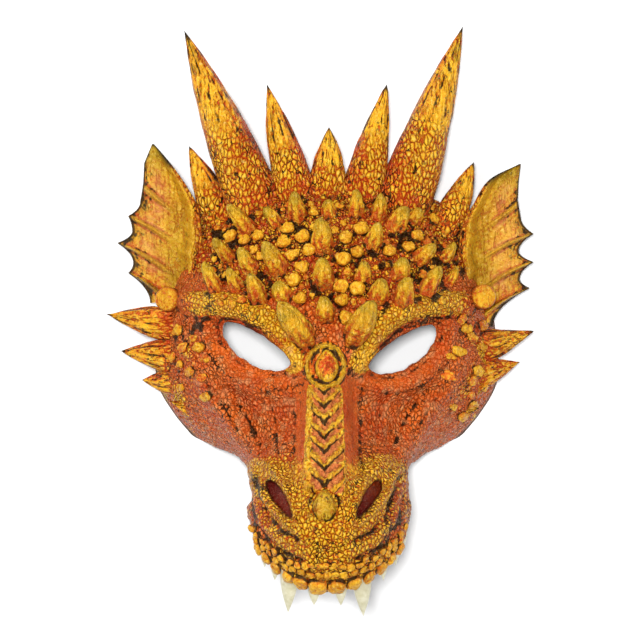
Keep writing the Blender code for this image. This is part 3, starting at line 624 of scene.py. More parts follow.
    # on the cheeks the pale on each scale's crest is a painted highlight
    paint = {
        "wash": wash, "gold": gold, "red": red, "green": green,
        "pale": 0.5 * cheeks * crest * smooth(0.55, 0.95, which) * (1 - band), "cut": cut,
        "scale": scale * (1 - cut), "streak": 0.7 * band,
        "crimson": 0.9 * nostril * (1 - 0.4 * (side > 0) * smooth(0.0, 0.6, down)),
    }
    return outer, base, normals, fold + np.minimum(relief - 8 * nostril, 0) / 1000, paint


def makeFace():
    outer, base, normals, sunk, paint = faceGrid()
    step = face["inner"]
    pooled = np.minimum(sunk, 0)
    for axis in (0, 1):  # the wall's inside clears the deepest point near it
        pooled = np.min([np.roll(pooled, shift, axis) for shift in range(-step, step + 1)], axis=0)
    inner = (base + normals * (pooled - face["wall"])[..., None])[::step, ::step]
    rows, columns = outer.shape[:2]
    innerRows, innerColumns = inner.shape[:2]
    faces = gridFaces(rows, columns)
    faces += [quad[::-1] for quad in gridFaces(innerRows, innerColumns, rows * columns)]
    near, far = rimLoop(rows, columns), rimLoop(innerRows, innerColumns, rows * columns)
    for index, corner in enumerate(far):
        after = far[(index + 1) % len(far)]
        o = [near[(step * index + k) % len(near)] for k in range(step + 1)]
        faces += [
            [o[1], o[0], corner], [o[2], o[1], corner], [after, o[2], corner], [o[3], o[2], after],
            [o[4], o[3], after]
        ]
    batch = Batch()
    fill = np.ones(innerRows * innerColumns)
    batch.add(
        np.concatenate([outer.reshape(-1, 3), inner.reshape(-1, 3)]), faces,
        **{name: np.concatenate([paint[name].reshape(-1), fill * (name == "cut")]) for name in paintNames},
    )
    return batch.build("face")


def addSheet(batch, front, back, paint, blackBack):
    # Closes a grid of points with a second one behind it, painted like the front or black
    shape = front.shape[:2]
    count = shape[0] * shape[1]
    faces = gridFaces(*shape) + [quad[::-1] for quad in gridFaces(*shape, count)]
    loop = rimLoop(*shape)
    faces += [[near, near + count, after + count, after] for near, after in zip(loop, loop[1:] + loop[:1])]
    both = {}
    for name, values in paint.items():
        values = np.broadcast_to(values, shape).reshape(-1)
        behind = np.full(count, float(name == "cut")) if blackBack else values
        both[name] = np.concatenate([values, behind])
    batch.add(np.concatenate([front.reshape(-1, 3), back.reshape(-1, 3)]), faces, **both)


def addPatch(batch, columns, rows, shape):
    # A fine sheet over the skin, closed underneath. `shape` gives its height in millimetres and its paint.
    points = np.array([[skin.under(c, r)[0] for c, r in zip(*line)] for line in zip(columns, rows)])
    normals = gridNormals(points)
    normals *= np.sign(normals[..., 2:])
    lift, paint = shape(columns, rows, points)
    top, bottom = points + normals * (lift / 1000)[..., None], points - normals * face["root"]
    addSheet(batch, top, bottom, paint, False)


def roundGrid(centre, across, down, count):
    u, v = np.meshgrid(np.linspace(-1, 1, count), np.linspace(-1, 1, count))
    return centre[0] + across * u * np.sqrt(1 - v * v / 2), centre[1] + down * v * np.sqrt(1 - u * u / 2)


def noseStrip(columns, rows, points):
    # Two rails with a ladder of V ridges between them, each with a dark notch under its point
    side = columns - noseParts["column"]
    t = np.abs(side) / stripWidth(rows)
    fine = noiseField(points, 0.0035, 31)
    phase = np.interp(rows + 21 * t + 1.5 * fine, noseParts["bars"], range(len(noseParts["bars"])))
    lap = phase - np.floor(phase)
    ridge = (0.5 + 0.5 * np.cos(2 * math.pi * (lap - 0.04 + 0.05 * fine))) ** 1.7
    rail = np.where(side < 0, smooth(0.52, 0.66, t), smooth(0.80, 0.92, t))
    edge = 1 - smooth(0.90, 1.0, t)
    roll = np.sin(
        np.pi * np.clip((t - np.where(side < 0, 0.50, 0.80)) / np.where(side < 0, 0.50, 0.20), 0, 1)
    )
    lift = (
        (
            0.7 + 2.1 * ridge * (1 - 0.75 * rail) + 1.3 * roll + 0.35 * fine
        ) * np.sqrt(np.maximum(edge, 0)) * smooth(386, 391, rows)
        - 0.6 * (1 - edge)
    )
    foot = 487 + 9 * t + 2.5 * fine  # its lower end runs out on both sides of the boss
    lift = lift * (1 - smooth(foot - 6, foot, rows)) - 1.5 * smooth(foot - 2, foot + 1, rows)
    notch = (
        bump(lap - 0.24, 0.12) * (1 - smooth(0.10, 0.42, t + 0.1 * fine))
        + 0.9 * bump(lap - 0.27, 0.06) * (1 - rail) * smooth(-0.6, 0.2, fine)
    )
    wash = (
        1.1 * notch * smooth(-0.8, 0.0, fine + 0.4 * bump(t, 0.2))
        + 0.6 * bump(t - np.where(side < 0, 0.54, 0.84), 0.03) * smooth(-0.1, 0.5, fine)
        + 0.5 * smooth(0.93, 1.0, t)
    )
    gold = 0.30 + 0.65 * np.maximum(ridge**0.7, 0.85 * rail) + 0.2 * fine
    red = (
        0.40 * (1 - ridge) * (1 - rail) * smooth(-0.4, 0.3, fine)
        + 0.35 * rail * smooth(0.0, 0.5, fine) * (side > 0)
    )
    paint = {
        "wash": wash, "gold": gold, "red": red, "pale": 0.35 * (1 - ridge) * (1 - rail),
        "green": 0.10 + 0.25 * rail * smooth(-0.2, 0.5, fine), "scale": 0.15, "streak": 0.9,
    }
    return lift, paint


def noseRing(columns, rows, points):
    # A ring round a drop, between the brow thorns
    ring = around(columns, rows, noseParts["ring"], noseParts["ringRadii"])
    narrow = 1 - 0.40 * smooth(0, 18, 366 - rows)
    drop = np.hypot((columns - 327) / (11.5 * narrow), (rows - 366) / 16.5)
    fine = noiseField(points, 0.003, 33)
    lift = (
        1.7 * bump(ring - 1 + 0.03 * fine, 0.08) + 3.2 * np.sqrt(np.clip(1 - drop**2, 0, 1)) + 0.25 * fine
        + 0.2 - 1.8 * smooth(1.15, 1.4, ring)
    )
    wash = (
        1.1 * bump(ring - 0.82, 0.08) * (drop > 1) * smooth(-0.5, 0.2, fine)
        + 0.9 * bump(ring - 1.20, 0.08) * smooth(-0.4, 0.3, fine)
    )
    wash += 0.5 * bump(drop - 1.03, 0.08)
    gold = 0.45 + 0.55 * bump(ring - 1, 0.12) + 0.4 * smooth(0.55, 0.9, drop) * (drop < 1)
    red = (
        0.7 * (1 - smooth(0.3, 0.7, np.hypot(drop, 0.25 * (columns < 325)))) * smooth(-0.6, 0.2, fine)
        + 0.35 * (ring < 0.9) * (drop > 1)
    )
    paint = {
        "wash": wash, "gold": gold, "red": red,
        "green": 0.4 * bump(ring - 1, 0.14) + 0.4 * smooth(0.6, 0.95, drop) * (drop < 1), "scale": 0.1,
        "streak": 0.8,
    }
    return lift, paint


def noseBoss(columns, rows, points):
    width, height = 11.8 - 4.4 * smooth(0, 15, 506 - rows), noseParts["bossRadii"][1]
    boss = around(columns, rows, noseParts["boss"], (width, height))
    fine = noiseField(points, 0.003, 35)
    lift = 4.0 * np.clip(1 - boss**2, 0, 1) ** 0.6 + 0.2 * fine - 1.6 * smooth(1.0, 1.2, boss)
    wash = 0.9 * smooth(0.86, 1.0, boss) * smooth(-0.5, 0.2, fine) + 0.15 * smooth(0.1, 0.5, fine)
    paint = {
        "wash": wash, "gold": 0.74 + 0.15 * fine, "red": 0.40 * smooth(0.0, 0.4, -fine),
        "green": 0.62 + 0.2 * fine, "scale": 0.0, "streak": 1.0,
    }
    return lift, paint


def almond(centre, side, steps=64):
    points = []
    tilt = side * eyes["tilt"]
    for lift in (-0.08, 0.08):
        for step in range(steps):
            turn = 2 * math.pi * step / steps
            x = math.cos(turn) * eyes["length"] / 2
            y = math.sin(turn) * (eyes["upper"] if turn < math.pi else eyes["lower"])
            y *= 1 + 0.03 * math.sin(9 * turn) + 0.03 * math.sin(17 * turn + 1)
            points.append(
                (
                    centre.x + x * math.cos(tilt) - y * math.sin(tilt),
                    centre.y + x * math.sin(tilt) + y * math.cos(tilt), centre.z + lift
                )
            )
    faces = [list(range(steps)), list(range(steps, 2 * steps))[::-1]]
    faces += [[k, steps + k, steps + (k + 1) % steps, (k + 1) % steps] for k in range(steps)]
    return points, faces


def cutBy(target, points, faces, solver="MANIFOLD"):
    batch = Batch()
    batch.add(points, faces, cut=1.0)
    cutter = batch.build("cutter")
    modifier = target.modifiers.new("cut", "BOOLEAN")
    modifier.operation = "DIFFERENCE"
    modifier.solver = solver
    modifier.object = cutter
    bpy.ops.object.select_all(action="DESELECT")
    bpy.context.view_layer.objects.active = target
    target.select_set(True)
    bpy.ops.object.modifier_apply(modifier="cut")
    bpy.data.objects.remove(cutter)


faceObject = makeFace()
for side, place in zip((-1, 1), eyes["places"]):
    middle, _ = skin.under(drawing["column"] + side * 74, 385)
    cutBy(faceObject, *almond(spot(*place, middle.z * 1000), side))
tableBox = [(x, y, z) for z in (-0.1, 0.0) for x, y in ((-0.3, -0.3), (0.3, -0.3), (0.3, 0.3), (-0.3, 0.3))]
tableFaces = [[3, 2, 1, 0], [4, 5, 6, 7]] + [[k, (k + 1) % 4, 4 + (k + 1) % 4, 4 + k] for k in range(4)]
cutBy(faceObject, tableBox, tableFaces)
print("face", len(faceObject.data.polygons))


def spikeGrid(root, normal, tip, flat, width, thickness, stations, taper, bow, sides, rings, rooted=True):
    # The same rings as the solid's horn or thorn, then as many as the finer grid needs
    length = (tip - root).length
    middle = (root + tip) / 2 + flat * bow * length
    side = (tip - root).cross(flat).normalized()
    coarse = np.zeros((stations + 1, sides, 3))
    for ring in range(stations):
        share = ring / stations
        centre = root * (1 - share) ** 2 + middle * 2 * share * (1 - share) + tip * share**2
        ahead = ((middle - root) * (1 - share) + (tip - middle) * share).normalized()
        facing = normal.lerp(ahead, min(1, 0.35 + 1.6 * share)).normalized()
        if ring == 0:
            centre, facing = root - normal * face["root"], normal
        up = side.cross(facing).normalized()
        size = 1 - share**taper
        for step in range(sides):
            turn = 2 * math.pi * step / sides
            point = (
                centre + side * math.cos(turn) * width / 2 * size
                + up * math.sin(turn) * thickness / 2 * size
            )
            coarse[ring, step] = skin.rooted(point) if ring == 0 and rooted else point
    coarse[stations] = tip
    shares = np.linspace(0, 1, rings)
    grid = np.einsum("ri,ijk->rjk", splineWeights(shares, stations + 1), coarse)
    grid[-1] = tip
    return grid, shares


def addSpike(batch, grid, relief, **paint):
    # Displaces a spike's grid along its normals and closes it: its last ring is one point
    normals = gridNormals(grid, wrap=True)
    centres = grid.mean(axis=1, keepdims=True)
    flip = np.sign(np.einsum("ijk,ijk->ij", normals, grid - centres))[..., None]
    normals = normals * np.where(flip == 0, 1, flip)
    moved = grid + normals * (relief / 1000)[..., None]
    rings, sides = grid.shape[:2]
    moved[-1] = grid[-1].mean(axis=0)
    points = np.concatenate([moved[:-1].reshape(-1, 3), moved[-1, :1]])
    faces = gridFaces(rings - 1, sides, wrap=True)
    last = (rings - 2) * sides
    faces += [[last + k, last + (k + 1) % sides, (rings - 1) * sides] for k in range(sides)]
    faces.append(list(range(sides))[::-1])
    trimmed = {}
    for name, values in paint.items():
        values = np.broadcast_to(values, grid.shape[:2])
        trimmed[name] = np.concatenate([values[:-1].reshape(-1), values[-1:, :1].reshape(-1)])
    batch.add(points, faces, **trimmed)


def addHorns(batch, kind):
    scaly, slim = kind["scaly"], kind["slim"]
    for count, (root, tip, width, thickness) in enumerate(kind["places"]):
        seed = kind["seed"] + count
        start, end = spot(*root), spot(*tip)
        _, normal, _, _ = skin.tree.find_nearest(start)
        ahead = (end - start).normalized()
        if normal.dot(ahead) < 0:
            normal = -normal
        facing = normal.lerp(ahead, 0.5).normalized()
        size = (width * drawing["pixel"], thickness * drawing["pixel"])
        share = min(1, 0.55 + (end - start).length / 0.12)
        ringCount, sideCount = int(kind["rings"] * share), int(kind["sides"] * share)
        grid, shares = spikeGrid(
            start, facing, end, Vector((0, 0, 1)), *size, kind["stations"], kind["taper"], 0.03, sideCount,
            ringCount
        )
        s = shares[:, None] + 0 * grid[..., 0]
        turn = np.linspace(0, 2 * math.pi, sideCount, endpoint=False)[None, :] + 0 * s
        axis = np.array(ahead)
        squeezed = grid - 0.45 * (grid @ axis)[..., None] * axis
        border, _ = cells(squeezed, 0.0024, seed)
        wander = noiseField(grid, 0.02, seed)
        fine = noiseField(squeezed, 0.004, seed + 3)
        low = 1 - smooth(scaly - 0.12, scaly + 0.10, s + 0.10 * wander)
        grooves = np.cos(9 * turn + 1.5 * wander + count) * 0.5 + np.cos(17 * turn - 2 * wander) * 0.3
        crest = smooth(0, 0.4, border)
        relief = (
            low * 0.25 * (crest - 0.6) + (1 - low) * (0.8 * grooves * (1 - s) ** 0.4 + 0.15 * fine)
            + 0.5 * wander - slim * np.sin(np.pi * np.clip(s, 0, 1)) ** 0.7
        )
        relief *= 1 - smooth(0.93, 1.0, s)
        left = smooth(-0.2, 0.9, np.cos(turn) * (1 if ahead.x < 0 else -1))
        wash = (1 - low) * smooth(0.25, 0.70, -grooves) * 0.75 * smooth(-0.4, 0.1, fine)
        wash += (
            0.6 * (1 - smooth(0.0, 0.12, s)) * smooth(-0.3, 0.3, fine)
            + 0.35 * left * smooth(0.2, 0.7, wander)
            + 0.30 * smooth(0.5, 0.9, -np.sin(turn + 0.5)) * (slim > 0.3)
        )
        back = smooth(0.1, 0.6, -np.sin(turn))
        outline = smooth(0.70, 0.96, np.abs(np.cos(turn))) * (0.5 + 0.5 * s)
        wash += 0.55 * outline * smooth(-0.2, 0.4, fine) + 0.6 * smooth(0.88, 0.98, s)
        gold = (
            0.86 + 0.14 * crest * low + 0.2 * grooves * (1 - low) - 0.5 * back
            - 0.25 * (1 - smooth(0.0, 0.25, s)) - 0.15 * left - 0.20 * (slim > 0.3)
        )
        red = (
            low * (1 - crest) * 0.25 + 0.2 * (1 - smooth(0.0, 0.35, s))
            + (1 - low) * smooth(0.1, 0.9, -grooves) * 0.35 + 0.5 * left * smooth(-0.1, 0.5, wander)
            + 0.4 * smooth(0.9, 0.97, s) + 0.55 * outline
        )
        green = (
            0.5 * smooth(0.7, 0.85, s) * (1 - left) * smooth(0, 0.4, fine + 0.2) * (count < 2)
            + 0.1 * smooth(0.2, 0.6, -wander)
        )
        cut = np.maximum(smooth(0.955, 0.985, s), smooth(0.55, 0.85, -np.sin(turn)) * 0.9)
        addSpike(
            batch, grid, relief, wash=wash, gold=gold, red=red, green=green, cut=cut, scale=0.9 * low,
            streak=1 - low
        )


def addThorns(batch):
    for count, (root, tip, width) in enumerate(thorns["places"]):
        start, normal = skin.under(*root)
        wide = thorns["fullness"] * width * drawing["pixel"]
        end = spot(*tip, (start.z + thorns["lift"] * math.dist(root, tip) * drawing["pixel"]) * 1000)
        leaf = width >= thorns["leafWidth"]
        sides, rings = (60, 60) if leaf else (36, 40)
        taper = thorns["leafTaper"] if leaf else thorns["taper"]
        grid, shares = spikeGrid(start, normal, end, normal, wide, 0.9 * wide, 3, taper, 0.16, sides, rings)
        s = shares[:, None] + 0 * grid[..., 0]
        # the solid's thorn ends in a point; here it is rounded, and the two by the brows are leaf-shaped
        solidSize = splineWeights(shares, 4) @ np.array([1, 1 - 3**-taper, 1 - 1.5**-taper, 0])
        fineSize = (
            np.sin(np.pi * (0.28 + 0.72 * shares)) ** 0.6 if leaf
            else (1.10 - 0.60 * shares) * np.sqrt(1 - shares**7)
        )
        middle = grid.mean(axis=1, keepdims=True)
        grid = middle + (grid - middle) * (fineSize / np.maximum(solidSize, 0.02))[:, None, None]
        turn = np.linspace(0, 2 * math.pi, sides, endpoint=False)[None, :] + 0 * s
        wander = noiseField(grid, 0.005, count + 20)
        fine = noiseField(grid, 0.0022, count + 50)
        lines = np.cos(6 * turn + 2 * wander + count)
        ridge = bump(turn - math.pi / 2, 0.5)
        relief = (
            (0.4 * ridge + (0.1 + 0.55 * (1 - s) ** 2) * lines + 0.4 * wander + 0.25 * fine)
            * smooth(0, 0.1, s) * (1 - smooth(0.9, 1.0, s))
        )
        relief -= 25 * wide  # a twentieth of its radius, in millimetres
        # painted shade: a dark ring where each thorn leaves the skin
        wash = (
            0.8 * (1 - smooth(0.02, 0.16, s + 0.10 * wander))
            + 0.30 * smooth(0.45, 0.9, -lines) * (1 - smooth(0.2, 0.6, s))
        )
        # painted shade on the side that faces the skin
        wash += 0.40 * smooth(-0.1, 0.6, -np.sin(turn)) * (1 - 0.5 * s) + 0.25 * smooth(0.4, 0.8, -fine)
        gold = (
            0.86 + 0.2 * ridge + 0.12 * wander + 0.1 * fine
            - 0.48 * (1 - smooth(0.15, 0.55, s + 0.15 * lines))
        )
        red = 0.2 * smooth(0.0, 0.5, wander) * (1 - s) + 0.55 * (1 - smooth(0.12, 0.50, s + 0.15 * lines))
        green = 0.16 + 0.6 * smooth(0.35, 0.95, s + 0.3 * wander)
        if leaf:
            edge = smooth(0.75, 0.95, np.abs(np.cos(turn)))
            gold += 0.25 * edge
            wash += 0.4 * smooth(0.96, 1.0, np.abs(np.cos(turn)))
            relief += 0.5 * edge * smooth(0.1, 0.3, s) * (1 - smooth(0.9, 1, s))
        addSpike(
            batch, grid, relief, wash=wash, gold=gold, red=red, green=green, cut=0.0, scale=0.35 * (1 - s),
            streak=0.3 + 0.4 * s
        )


def addDome(
    batch, centre, normal, along, length, width, height, square=2.0, sides=24, rings=9, rough=0.3, **paint
):
    # A low dome rooted in the skin; `square` over 2 squares its outline
    across = normal.cross(along).normalized()
    along = across.cross(normal).normalized()
    grid = np.zeros((rings, sides, 3))
    shares = np.linspace(0, 1, rings)
    for ring, share in enumerate(shares):
        lift = -face["root"] if ring == 0 else height * math.sin(share * math.pi / 2) ** 0.8
        size = 1.0 if ring == 0 else math.cos(share * math.pi / 2) ** 0.5
        for step in range(sides):
            turn = 2 * math.pi * step / sides
            c, n = math.cos(turn), math.sin(turn)
            reach = (abs(c) ** square + abs(n) ** square) ** (-1 / square)
            reach *= (
                1
                + rough * (
                    0.05 * math.cos(3 * turn + 900 * centre.x) + 0.04 * math.cos(5 * turn + 1300 * centre.y)
                )
            )
            grid[ring, step] = (
                centre + normal * lift + along * c * reach * length / 2 * size
                + across * n * reach * width / 2 * size
            )
    s = shares[:, None] + 0 * grid[..., 0]
    wander = noiseField(grid, 0.0032, 7)
    wash = 0.9 * (1 - smooth(0.08, 0.24, s + 0.08 * wander)) + 0.3 * smooth(0.35, 0.7, -wander)
    addSpike(
        batch, grid, rough * wander * smooth(0, 0.3, s), scale=0.2, wash=wash,
        gold=0.80 + 0.25 * wander + paint.get("gold", 0),
        red=0.45 * (1 - smooth(0.2, 0.6, s)) + 0.25 * smooth(0.1, 0.5, wander),
        green=paint.get("green", 0.12), cut=0.0
    )


def addKnobs(batch):
    for place, width in knobs["places"]:
        centre, normal = skin.under(*place)
        size = knobs["fullness"] * width * drawing["pixel"]
        addDome(
            batch, centre, normal, Vector((1, 0.3, 0)), size, 0.92 * size, knobs["height"], sides=30,
            rings=14, rough=1.1
        )


def addNodules(batch):
    # Smaller lumps fill the ground between the thorns, and longer ones lie along the temples
    chance = random.Random(nodules["seed"])
    taken = (
        [(root, width * 0.62) for root, _, width in thorns["places"]]
        + [(tip, width * 0.3) for _, tip, width in thorns["places"]]
        + [(place, width * 0.55) for place, width in knobs["places"]]
    )
    for left, top, right, bottom, tries, least, most, longer in nodules["zones"]:
        for _ in range(tries):
            column, row = chance.uniform(left, right), chance.uniform(top, bottom)
            width = chance.uniform(least, most)
            if any(math.hypot(column - x, row - y) < reach + width * 0.5 for (x, y), reach in taken):
                continue
            if longer > 1 and eyeDistance(np.array(float(column)), np.array(float(row)))[0] < 22:
                continue
            taken.append(((column, row), width * 0.5))
            centre, normal = skin.under(column, row)
            if centre.z < 0.010:
                continue
            size = width * drawing["pixel"]
            outward = (
                Vector((column - 327, 330 - row, 0)).normalized() if longer > 1
                else Vector((chance.uniform(-1, 1), chance.uniform(-1, 1), 0.1))
            )
            addDome(
                batch, centre, normal, outward, size * longer, size, size * (0.42 if longer == 1 else 0.34),
                sides=20, rings=9, rough=1.3, gold=chance.uniform(-0.5, 0.05) + 0.1 * (longer > 1),
                green=chance.uniform(0, 0.3)
            )


def addLipPlates(batch):
    # Two big scales in the middle of the lip, ever smaller ones out to the sides, two rows of beads above
    for side in (-1, 1):
        reached = 0.0
        for size in lip["plates"]:
            share = side * (reached + size / 2) / 94
            reached += size
            centre, normal, along, _ = skin.onLip(share, 0.03)
            addDome(
                batch, centre, normal, along, 0.00103 * size, 0.0098 if size > 9 else 0.0085,
                0.0042 if size > 9 else 0.0034, 3.2, rough=0.8
            )
    chance, reach = random.Random(lip["seed"]), lip["beadReach"]
    for row in lip["beads"]:
        up, size = row["up"], row["size"]
        count = int(2 * reach * 0.094 / size)
        for number in range(count):
            share = -reach + 2 * reach * (number + 0.5 * (up > 0.08)) / count + chance.uniform(-0.007, 0.007)
            centre, normal, along, _ = skin.onLip(share, up + chance.uniform(-0.004, 0.004))
            addDome(
                batch, centre, normal, along, 1.05 * size, size * chance.uniform(0.8, 1.1), 0.0017, 2.4,
                sides=18, rings=8, rough=1.2, gold=chance.uniform(-0.2, 0.15)
            )


def addDiscs(batch):
    for place in discs["places"]:
        centre, normal = skin.under(*place)
        facing = normal.lerp(Vector((0, 0, 1)), 0.85).normalized()
        along = facing.orthogonal().normalized()
        across = facing.cross(along)
        sides, lifts = discs["sides"], discs["profile"]
        grid = np.zeros((len(lifts), sides, 3))
        for ring, (lift, size) in enumerate(lifts):
            for step in range(sides):
                turn = 2 * math.pi * step / sides
                grid[ring, step] = (
                    centre + facing * lift
                    + (along * math.cos(turn) + across * math.sin(turn)) * discs["radius"] * size
                )
        s = np.linspace(0, 1, len(lifts))[:, None] + 0 * grid[..., 0]
        addSpike(
            batch, grid, 0 * s, wash=0.9 * (1 - smooth(0.1, 0.4, s)), gold=0.54 + 0.12 * s,
            red=0.7 * (1 - smooth(0.4, 0.80, s)) + 0.08, green=0.22, streak=0.3, cut=0.0
        )


# Ears: pairs of points across the ear, inner then outer edge, and True where a rib ends in a point
ears = {
    "left": [
        ((192, 300), (150, 303), False), ((197, 286), (128, 273), True), ((199, 272), (133, 263), False),
        ((201, 256), (117, 243), True), ((202, 240), (132, 231), False), ((201, 224), (128, 216), True),
        ((197, 205), (140, 202), False), ((186, 185), (143, 184), False), ((171, 164), (144, 163), False),
        ((154, 144), (152, 144), False),
    ],
    "right": [
        ((462, 312), (493, 327), False), ((462, 300), (530, 288), True), ((461, 284), (520, 279), False),
        ((460, 268), (534, 262), True), ((459, 254), (519, 251), False), ((460, 238), (534, 234), True),
        ((463, 222), (521, 217), False), ((473, 205), (518, 201), False), ((489, 180), (519, 181), False),
        ((519, 164), (521, 164), False),
    ],
    "profile": [(0.0, 25), (0.12, 26), (0.3, 13), (0.55, 15), (0.8, 16), (1.0, 12)],
    "thickness": 0.004, "rows": 200, "lanes": 116,
}


def earDepth(share):
    depth = np.zeros(np.shape(share))
    for (start, low), (end, high) in zip(ears["profile"], ears["profile"][1:]):
        ease = np.clip((share - start) / (end - start), 0, 1)
        ease = ease * ease * (3 - 2 * ease)
        depth = np.where((share >= start) & (share <= end), low + (high - low) * ease, depth)
    return depth


def addEar(batch, outline, seed):
    rows, lanes = ears["rows"], ears["lanes"]
    last = len(outline) - 1
    inner = np.array([pair[0] for pair in outline], float)
    outer = np.array([pair[1] for pair in outline], float)
    ribs = np.array([index for index, pair in enumerate(outline) if pair[2]], float)
    steps = np.linspace(0, last, rows)
    innerLine = splineWeights(steps / last, last + 1) @ inner
    outerLine = np.zeros((rows, 2))
    for index, step in enumerate(steps):
        first = min(int(step), last - 1)
        t = step - first
        a, b = outer[first], outer[first + 1]
        ribStart, ribEnd = first in ribs, first + 1 in ribs
        eased = 1 - (1 - t) ** 2 if ribStart else t * t if ribEnd else t
        outerLine[index] = (a[0] + (b[0] - a[0]) * eased, a[1] + (b[1] - a[1]) * t)
    share = np.linspace(0, 1, lanes)[None, :]
    place = innerLine[:, None] * (1 - share[..., None]) + outerLine[:, None] * share[..., None]
    along = steps[:, None] / last
    narrow = 1 - along
    depth = 14 + (earDepth(share) - 14) * np.sqrt(np.maximum(narrow, 0)) + 3 * along
    # each rib runs down and in from its point and fades in the smooth bowl of the ear
    ribAway = np.min([np.abs(steps[:, None] - rib + 2.3 * (1 - share)) for rib in [*ribs, 6.9]], axis=0)
    rib = bump(ribAway, 0.15) * smooth(0.25, 0.7, share)
    rim = bump(share - 0.13, 0.045) * (narrow**0.5)
    points = toMetres(place[..., 0], place[..., 1], depth)
    wander = noiseField(points, 0.012, seed)
    fine = noiseField(points, 0.003, seed + 1)
    sweep = np.stack(
        [
            0.006 * (steps[:, None] + 2.3 * (1 - share)), 0.004 * share + 0 * steps[:, None],
            0 * place[..., 0]
        ],
        axis=-1
    )
    brush = noiseField(sweep, 0.0010, seed + 5)  # brush marks along the ribs
    border, _ = cells(points, 0.0022, seed + 2)
    lift = (
        2.6 * rib * (1 - 0.6 * smooth(0.85, 1.0, share)) + 2.0 * rim
        - 1.2 * (1 - rib) * bump(share - 0.75, 0.25) * (1 - smooth(0.75, 0.95, along))
    )
    lift += 0.5 * (smooth(0, 0.4, border) - 0.6) * bump(share - 0.1, 0.12) + 0.12 * fine
    lift *= 1 - smooth(0.97, 1.0, along)
    front = points.copy()
    front[..., 2] += lift / 1000
    front[:, -1, 2] -= 0.0010
    front[:, 0, 2] -= 0.0010
    back = points.copy()
    back[..., 2] -= ears["thickness"]
    valley = (1 - rib) * smooth(0.35, 0.6, share)
    wash = (
        0.75 * bump(share - 0.215, 0.022) * narrow * smooth(-0.5, 0.2, fine)
        + 0.4 * valley * smooth(0.0, 0.5, fine) * smooth(0.6, 0.9, share)
    )
    wash += (
        0.6 * (1 - smooth(0, 0.12, along)) * smooth(-0.2, 0.3, wander)
        # painted shade: a dark line beside each rib
        + 0.5 * bump(ribAway - 0.28, 0.08) * smooth(0.55, 0.8, share) * smooth(-0.2, 0.3, fine)
    )
    wash += (
        0.25 * (1 - smooth(0, 0.35, border)) * bump(share - 0.08, 0.08)
        + 0.3 * smooth(0.35, 0.8, -brush) * smooth(0.3, 0.5, share) + 0.35 * bump(share - 0.93, 0.03)
    )
    gold = (
        0.68 + 0.30 * rib + 0.25 * rim - 0.20 * valley * smooth(0.0, 0.5, wander) + 0.12 * fine
        + 0.22 * brush - 0.04
    )
    red = (
        0.22 * valley * smooth(0.0, 0.5, brush)
        # an orange-red line beside each rib is painted shade
        + 0.95 * bump(ribAway - 0.30, 0.10) * smooth(0.35, 0.65, share)
        + 0.3 * bump(share - 0.02, 0.06) * smooth(-0.1, 0.4, fine)
        + 0.35 * smooth(0.9, 0.97, share) * smooth(-0.2, 0.3, fine)
    )
    green = (
        0.20 + 0.55 * bump(share - 0.34, 0.17) * narrow**0.5
        + 0.6 * smooth(0.78, 0.97, share) * valley * smooth(-0.1, 0.3, wander)
        + 0.15 * smooth(0, 0.6, -brush) + 0.6 * smooth(0.80, 0.95, along)
    )
    pale = (
        0.62 * bump(share - 0.68, 0.22) * (0.6 + 0.2 * wander + 0.5 * brush) * smooth(0.05, 0.2, along)
        * (1 - smooth(0.85, 0.95, along)) * (1 - 0.6 * rib)
    )
    cut = np.maximum(
        smooth(0.945, 0.965, share) * 0.9,
        smooth(0.84, 0.90, along) * smooth(0.30, 0.05, share) + smooth(0.97, 1.0, along)
    )
    paint = {
        "wash": wash, "gold": gold, "red": red, "green": green, "pale": pale, "cut": np.clip(cut, 0, 1),
        "scale": bump(share - 0.03, 0.07), "streak": 0.45 * smooth(0.15, 0.3, share),
    }
    addSheet(batch, front, back, paint, True)


def addTeeth(batch):
    for kind in teeth.values():
        length, width = kind["length"], kind["width"]
        for share in kind["at"]:
            edge, normal, _, down = skin.onLip(share)
            root = edge - normal * face["wall"] / 2 - down * face["root"]
            hang = (down + Vector((0, -1.5, -0.1))).normalized()
            tip = root + (hang + Vector((0.25 * share, 0, 0))) * (length + face["root"])
            grid, along = spikeGrid(
                root, hang, tip, normal, width, 0.75 * width, 3, 1.8, 0.0, 32, 30, rooted=False
            )
            s = along[:, None] + 0 * grid[..., 0]
            wander = noiseField(grid * (1, 0.3, 1), 0.004, 3)
            addSpike(
                batch, grid, 0.12 * wander, wash=0.5 * (1 - smooth(0.05, 0.45, s)) + 0.1 * wander, gold=0.0,
                cut=0.0
            )


spines = Batch()
addHorns(spines, horns)
barbs = Batch()
addHorns(barbs, cheekSpikes)
print("horns", spines.count)
scales = Batch()
addThorns(scales)
addKnobs(scales)
addNodules(scales)
addLipPlates(scales)
addDiscs(scales)
print("scales", scales.count)
nose = Batch()
lanes, bars = noseParts["grid"]
across, down = np.meshgrid(
    np.linspace(-1, 1, lanes), np.linspace(noseParts["top"], noseParts["bottom"], bars)
)
addPatch(nose, noseParts["column"] + across * stripWidth(down), down, noseStrip)
addPatch(nose, *roundGrid(noseParts["ring"], 24, 27, 96), noseRing)
addPatch(nose, *roundGrid(noseParts["boss"], 15, 19, 64), noseBoss)
print("nose", nose.count)
fins = Batch()
addEar(fins, ears["left"], 80)
addEar(fins, ears["right"], 90)
print("ears", fins.count)
fangs = Batch()
addTeeth(fangs)


def srgb(code):
    parts = [int(code[k : k + 2], 16) / 255 for k in (0, 2, 4)]
    return tuple(p / 12.92 if p <= 0.04045 else ((p + 0.055) / 1.055) ** 2.4 for p in parts) + (1.0,)


